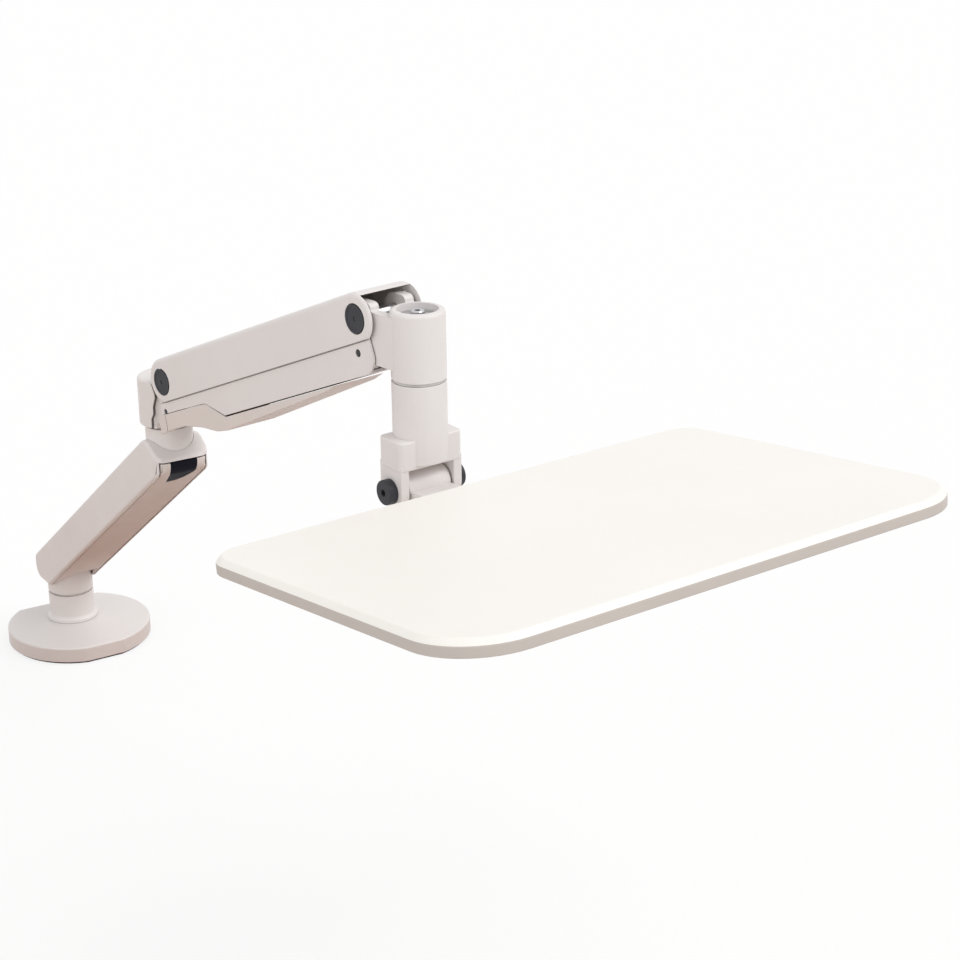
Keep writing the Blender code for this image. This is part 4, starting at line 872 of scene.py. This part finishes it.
class MOUNT_OT_head(bpy.types.Operator):
    """Front knuckle, head post with its fork, and the tilt knobs"""

    bl_idname = "mount.head"
    bl_label = "Head"

    def execute(self, context):
        steps = context.scene.arm_sizes.round_steps
        top = TIP_HEIGHT + HEAD_RISE
        low = top - HEAD_LENGTH
        seat = top - SEAT_DEPTH
        boss = lathe([(0.0, top), (POST_RADIUS, top), (POST_RADIUS, low), (0.0, low)], HEAD_AXIS, steps)
        ease(boss, 3.0, 5, where=lambda p: p.z > (top - 1) * MM)
        ease(boss, 0.6, 3, where=lambda p: p.z < (low + 0.1) * MM)
        under = TIP_HEIGHT - LINK_DROP
        ear_low = under - EAR_RADIUS
        ear_top = TIP_HEIGHT + EAR_RADIUS
        ear_back = TIP_REACH - EAR_RADIUS
        ear_front = TIP_REACH + EAR_RADIUS
        joined = HEAD_REACH - 4.0
        ears = []
        for side in EAR_SIDES:
            ears.append(prism([(ear_back, ear_top, EAR_RADIUS), (ear_back, ear_low, EAR_RADIUS),
                               (ear_front, ear_low, 9.0), (ear_front, under - 6, 2.0), (joined, under - 6),
                               (joined, TIP_HEIGHT + 7), (ear_front, TIP_HEIGHT + 7, 2.0),
                               (ear_front, ear_top, 5.0)], side, side + EAR_THICK, ELBOW_SIDE))
        boss = shaped(boss, ears, "UNION")
        boss = shaped(boss, [rod(BUSH_BORE, low - 20, top + 20, HEAD_AXIS),
                             rod(SEAT_BORE, seat, top + 20, HEAD_AXIS),
                             rod(PIN_HOLE, -40, 40, FRONT_TOP, 48), rod(STUB_HOLE, -40, 40, FRONT_LOW, 48)])
        set_down(boss, "head_casting", "front_knuckle_body", "casting", "white_casting", "front_knuckle")

        tilt = TILT_POINT.z / MM
        post_top = low - FIT - WASHER_THICK - FIT
        post_end = tilt + 21.5
        fork_top = post_end + 19.5
        bridge = tilt + FORK_BRIDGE
        post = lathe([(0.0, seat), (SHAFT_RADIUS, seat), (SHAFT_RADIUS, post_top), (POST_RADIUS, post_top),
                      (POST_RADIUS, post_end), (0.0, post_end)], HEAD_AXIS, steps)
        ease(post, 0.6, 3, where=lambda p: p.z > (post_top - 0.1) * MM and p.z < (seat + 0.1) * MM)
        block = prism([(-FORK_HALF, -FORK_DEPTH, 5.0), (FORK_HALF, -FORK_DEPTH, 5.0),
                       (FORK_HALF, FORK_DEPTH, 5.0), (-FORK_HALF, FORK_DEPTH, 5.0)], bridge, fork_top, FORK)
        ease(block, 1.2, 3, angle=40)
        cheeks = []
        for side in CHEEK_SIDES:
            cheek = prism([(-CHEEK_RADIUS, -CHEEK_RADIUS, CHEEK_RADIUS),
                           (CHEEK_RADIUS, -CHEEK_RADIUS, CHEEK_RADIUS), (CHEEK_RADIUS, FORK_BRIDGE + 4),
                           (-CHEEK_RADIUS, FORK_BRIDGE + 4)], side, side + CHEEK_WALL, FORK_SIDE)
            ease(cheek, 0.6, 3, angle=40)
            cheeks.append(cheek)
        post = shaped(post, [block, *cheeks], "UNION")
        post = shaped(post, [rod(SCREW_BORE, seat - 20, seat + 5, HEAD_AXIS, 32),
                             rod(PIN_HOLE, -40, 40, FORK_SIDE, 48)])
        set_down(post, "head_post_casting", "head", "casting", "white_casting", "head_post")

        knob_end = KNOB_LOW + KNOB_LENGTH
        for side, turn in (("left", Matrix.Rotation(math.pi, 4, "Y")), ("right", WORLD)):
            place = FORK_SIDE @ turn
            knob = lathe([(0.0, knob_end), (KNOB_RADIUS, knob_end), (KNOB_RADIUS, KNOB_LOW),
                          (PIN_HOLE, KNOB_LOW), (PIN_HOLE, KNOB_LOW + 1.3), (0.0, KNOB_LOW + 1.3)], place, 64)
            ease(knob, 1.2, 4, where=lambda p: abs((p - TILT_POINT).dot(TILT_AXIS)) > (knob_end - 0.1) * MM)
            knob = shaped(knob, [rod(3.0, knob_end - 3, knob_end + 2, place, 6)])
            name = "tilt_nut_" + side
            set_down(knob, name + "_moulded", "head", "cap", "grey_plastic", name)
        return {"FINISHED"}


# Tray

TRAY_GAP = 60.7
SCREW_COLUMN = 32.0
SCREW_ROWS = (18.0, 140.0)
SCREW_HOLE = 2.8
FRONT_CORNER = 52.0
REAR_CORNER = 26.0
BARREL_RADIUS = 12.0
BARREL_HALF = 19.0
TONGUE_HALF = 45.0
TONGUE_NECK = 18.6
TONGUE_THICK = 4.0
WEB_SIDES = (-18.2, 14.2)
WEB_THICK = 4.0


class MOUNT_OT_tray(bpy.types.Operator):
    """Tray board and the bracket under it"""

    bl_idname = "mount.tray"
    bl_label = "Tray"

    def execute(self, context):
        size = context.scene.arm_sizes
        half_w = size.tray_width / MM / 2
        half_d = size.tray_depth / MM / 2
        thick = size.tray_thickness / MM
        slope = size.tray_edge / MM
        board = prism([(-half_w, -half_d, FRONT_CORNER), (half_w, -half_d, FRONT_CORNER),
                       (half_w, half_d, REAR_CORNER), (-half_w, half_d, REAR_CORNER)], -thick, 0.0, TRAY)
        level = TRAY.translation.dot(TRAY_UP)
        ease(board, slope, 1, where=lambda p: p.dot(TRAY_UP) > level - 0.1 * MM)
        ease(board, 0.9, 3, angle=25, where=lambda p: p.dot(TRAY_UP) > level - (slope + 0.1) * MM)
        ease(board, 1.0, 3, where=lambda p: p.dot(TRAY_UP) < level - (thick - 0.1) * MM)
        under = (TRAY.translation - TILT_POINT).dot(TRAY_UP) / MM - thick
        holes = [across(TILT, side * SCREW_COLUMN, -TRAY_GAP - row) for row in SCREW_ROWS for side in (-1, 1)]
        board = shaped(board, [rod(SCREW_HOLE, under - 5, under + 8, hole, 24) for hole in holes])
        # Side faces below the slope take the darker edge finish: partly a grey edge band, partly painted shade.
        for face in board.faces:
            middle = face.calc_center_median().dot(TRAY_UP) - level
            face.material_index = int(middle < -(slope - 0.2) * MM and abs(face.normal.dot(TRAY_UP)) < 0.9)
        piece = set_down(board, "tray_board_pressed", "tray", "board", "tray_white", "tray_board")
        piece.data.materials.append(finish("edge"))

        high = under - FIT
        low = high - TONGUE_THICK
        barrel = rod(BARREL_RADIUS, -BARREL_HALF, BARREL_HALF, TILT_SIDE, 96)
        neck = -TRAY_GAP + 12
        shoulder = -TRAY_GAP - 6
        end = -TRAY_GAP - 163
        tongue = prism([(-TONGUE_NECK, 0.0), (-TONGUE_NECK, neck, 20.0), (-TONGUE_HALF, shoulder, 8.0),
                        (-TONGUE_HALF, end, 12.0), (TONGUE_HALF, end, 12.0), (TONGUE_HALF, shoulder, 8.0),
                        (TONGUE_NECK, neck, 20.0), (TONGUE_NECK, 0.0)], low, high, TILT)
        ease(tongue, 0.6, 3, angle=40)
        webs = [prism([(-2.0, low + 1), (-4.0, -10.5), (-30.0, low - 6, 6.0), (end + 30, low - 1.5, 1.0),
                       (end + 24, low + 1)], side, side + WEB_THICK, TILT_SIDE) for side in WEB_SIDES]
        ease(barrel, 0.6, 3, angle=40)
        barrel = shaped(barrel, [tongue, *webs], "UNION")
        barrel = shaped(barrel, [rod(PIN_HOLE, -40, 40, FORK_SIDE, 48)]
                        + [rod(SCREW_HOLE, low - 5, high + 5, hole, 24) for hole in holes])
        set_down(barrel, "tray_bracket_casting", "tray", "casting", "white_casting", "tray_bracket")
        return {"FINISHED"}


# Fixings

FIXINGS = {
    "zinc": ("base_bolt", "base_retainer", "base_retainer_screw", "elbow_retainer", "elbow_retainer_screw",
             "head_retainer", "head_retainer_screw", "tray_screw_1", "tray_screw_2", "tray_screw_3",
             "tray_screw_4"),
    "black": ("rear_link_pin_near", "rear_link_pin_far", "front_link_pin_near", "front_link_pin_far"),
    "ground": ("base_spindle", "elbow_spindle", "rear_pivot_pin", "front_pivot_pin", "spring_rear_pin",
               "spring_front_pin", "gas_rod", "tilt_pin"),
    "cylinder": ("gas_cylinder",),
    "nylon": ("base_thrust_washer", "base_bush", "elbow_bush", "elbow_thrust_washer", "head_bush",
              "head_thrust_washer", "tilt_washer_left", "tilt_washer_right"),
    "rubber": ("base_pad",),
}


class MOUNT_OT_fixings(bpy.types.Operator):
    """Finishes of the pins, screws, bushes, washers, gas spring and foot pad"""

    bl_idname = "mount.fixings"
    bl_label = "Fixings"

    def execute(self, context):
        for look, names in FIXINGS.items():
            for name in names:
                solid = frame["nodes"][name]
                solid.data.materials.clear()
                solid.data.materials.append(finish(look))
        return {"FINISHED"}


# Stage

CAMERA_PLACE = (-0.7194, -1.9912, 0.9286)
CAMERA_AZIMUTH = math.radians(31.390)
CAMERA_ELEVATION = math.radians(20.345)
CAMERA_ROLL = math.radians(-0.756)
CAMERA_LENS = 81.945
SUNS = (("key", (0.46, -0.46, 0.76), 40.0, 1.2), ("left", (-0.9, -0.35, 0.45), 60.0, 0.5))
SKY = (1.0, 0.99, 0.985, 1.0)
SKY_STRENGTH = 0.68
FLOOR_NEAR = (0.32, 0.125, 0.05)
FLOOR_FAR = (0.84, 0.81, 0.79)
FLOOR_GLOW = 0.8


def seen_white(tree, shown, lit):
    """Shader that the camera, glossy and transmission rays see as shown, and light falls from as lit."""
    path = tree.nodes.new("ShaderNodeLightPath").outputs
    seen = worked(tree, "ShaderNodeMath", "MAXIMUM", path["Is Camera Ray"], path["Is Glossy Ray"])
    seen = worked(tree, "ShaderNodeMath", "MAXIMUM", seen, path["Is Transmission Ray"])
    return worked(tree, "ShaderNodeMixShader", None, seen, lit, shown)


class MOUNT_OT_stage(bpy.types.Operator):
    """Floor, soft light, background and camera"""

    bl_idname = "mount.stage"
    bl_label = "Stage"

    def execute(self, context):
        scene = context.scene
        scene.view_settings.view_transform = "Standard"

        grid = bmesh.new()
        bmesh.ops.create_grid(grid, x_segments=1, y_segments=1, size=6.0)
        floor = as_object(grid, "floor")
        material, tree, shader, place = start("floor", 0.9)
        reach = node(tree, "ShaderNodeVectorMath", "Value", operation="LENGTH", Vector=place)
        away = spread(tree, reach, 0.0, 1.0, 0.4, 1.1)
        feed(shader, Base_Color=tinted(tree, away, FLOOR_NEAR, FLOOR_FAR))
        pale = node(tree, "ShaderNodeBsdfDiffuse", Color=(0.95, 0.95, 0.95, 1.0))
        glow = node(tree, "ShaderNodeEmission", Color=(1.0, 1.0, 1.0, 1.0), Strength=1.0)
        shown = worked(tree, "ShaderNodeMixShader", None, FLOOR_GLOW, pale, glow)
        feed(tree.nodes["Material Output"], Surface=seen_white(tree, shown, shader.outputs[0]))
        floor.data.materials.append(material)

        world = bpy.data.worlds.new("studio")
        world.use_nodes = True
        scene.world = world
        tree = world.node_tree
        fill = tree.nodes["Background"]
        fill.inputs["Color"].default_value = SKY
        fill.inputs["Strength"].default_value = SKY_STRENGTH
        white = node(tree, "ShaderNodeBackground", Color=(1.0, 1.0, 1.0, 1.0), Strength=1.0)
        feed(tree.nodes["World Output"], Surface=seen_white(tree, white, fill.outputs[0]))

        for name, source, breadth, power in SUNS:
            lamp = bpy.data.lights.new(name, "SUN")
            lamp.angle = math.radians(breadth)
            lamp.energy = power
            put(name, lamp).rotation_euler = (-Vector(source)).to_track_quat("-Z", "Y").to_euler()

        lens = bpy.data.cameras.new("camera")
        lens.lens = CAMERA_LENS
        lens.sensor_width = 36.0
        lens.clip_start = 0.05
        lens.clip_end = 30.0
        camera = put("camera", lens)
        sin_a, cos_a = math.sin(CAMERA_AZIMUTH), math.cos(CAMERA_AZIMUTH)
        sin_e, cos_e = math.sin(CAMERA_ELEVATION), math.cos(CAMERA_ELEVATION)
        right = Vector((cos_a, -sin_a, 0.0))
        upward = Vector((sin_a * sin_e, cos_a * sin_e, cos_e))
        back = Vector((-sin_a * cos_e, -cos_a * cos_e, sin_e))
        sin_r, cos_r = math.sin(CAMERA_ROLL), math.cos(CAMERA_ROLL)
        turn = Matrix((right * cos_r + upward * sin_r, upward * cos_r - right * sin_r, back)).transposed()
        camera.matrix_world = Matrix.Translation(CAMERA_PLACE) @ turn.to_4x4()
        scene.camera = camera
        return {"FINISHED"}


# Sidebar

OPERATORS = (MOUNT_OT_base, MOUNT_OT_lower_link, MOUNT_OT_elbow, MOUNT_OT_upper_arm, MOUNT_OT_caps,
             MOUNT_OT_head, MOUNT_OT_tray, MOUNT_OT_fixings, MOUNT_OT_stage)


class MOUNT_PT_panel(bpy.types.Panel):
    """Sizes, colours and the steps that build the arm"""

    bl_idname = "MOUNT_PT_panel"
    bl_label = "Laptop Arm Mount"
    bl_space_type = "VIEW_3D"
    bl_region_type = "UI"
    bl_category = "Arm Mount"

    def draw(self, context):
        for group in (context.scene.arm_sizes, context.scene.arm_colours):
            box = self.layout.box()
            for name in group.__annotations__:
                box.prop(group, name)
        for operator in OPERATORS:
            self.layout.operator(operator.bl_idname)


CLASSES = (ArmSizes, ArmColours, *OPERATORS, MOUNT_PT_panel)


def register():
    for cls in CLASSES:
        bpy.utils.register_class(cls)
    bpy.types.Scene.arm_sizes = PointerProperty(type=ArmSizes)
    bpy.types.Scene.arm_colours = PointerProperty(type=ArmColours)


def unregister():
    del bpy.types.Scene.arm_colours
    del bpy.types.Scene.arm_sizes
    for cls in reversed(CLASSES):
        bpy.utils.unregister_class(cls)


def main():
    register()
    bpy.ops.mount.base()
    bpy.ops.mount.lower_link()
    bpy.ops.mount.elbow()
    bpy.ops.mount.upper_arm()
    bpy.ops.mount.caps()
    bpy.ops.mount.head()
    bpy.ops.mount.tray()
    bpy.ops.mount.fixings()
    bpy.ops.mount.stage()


if __name__ == "__main__":
    main()
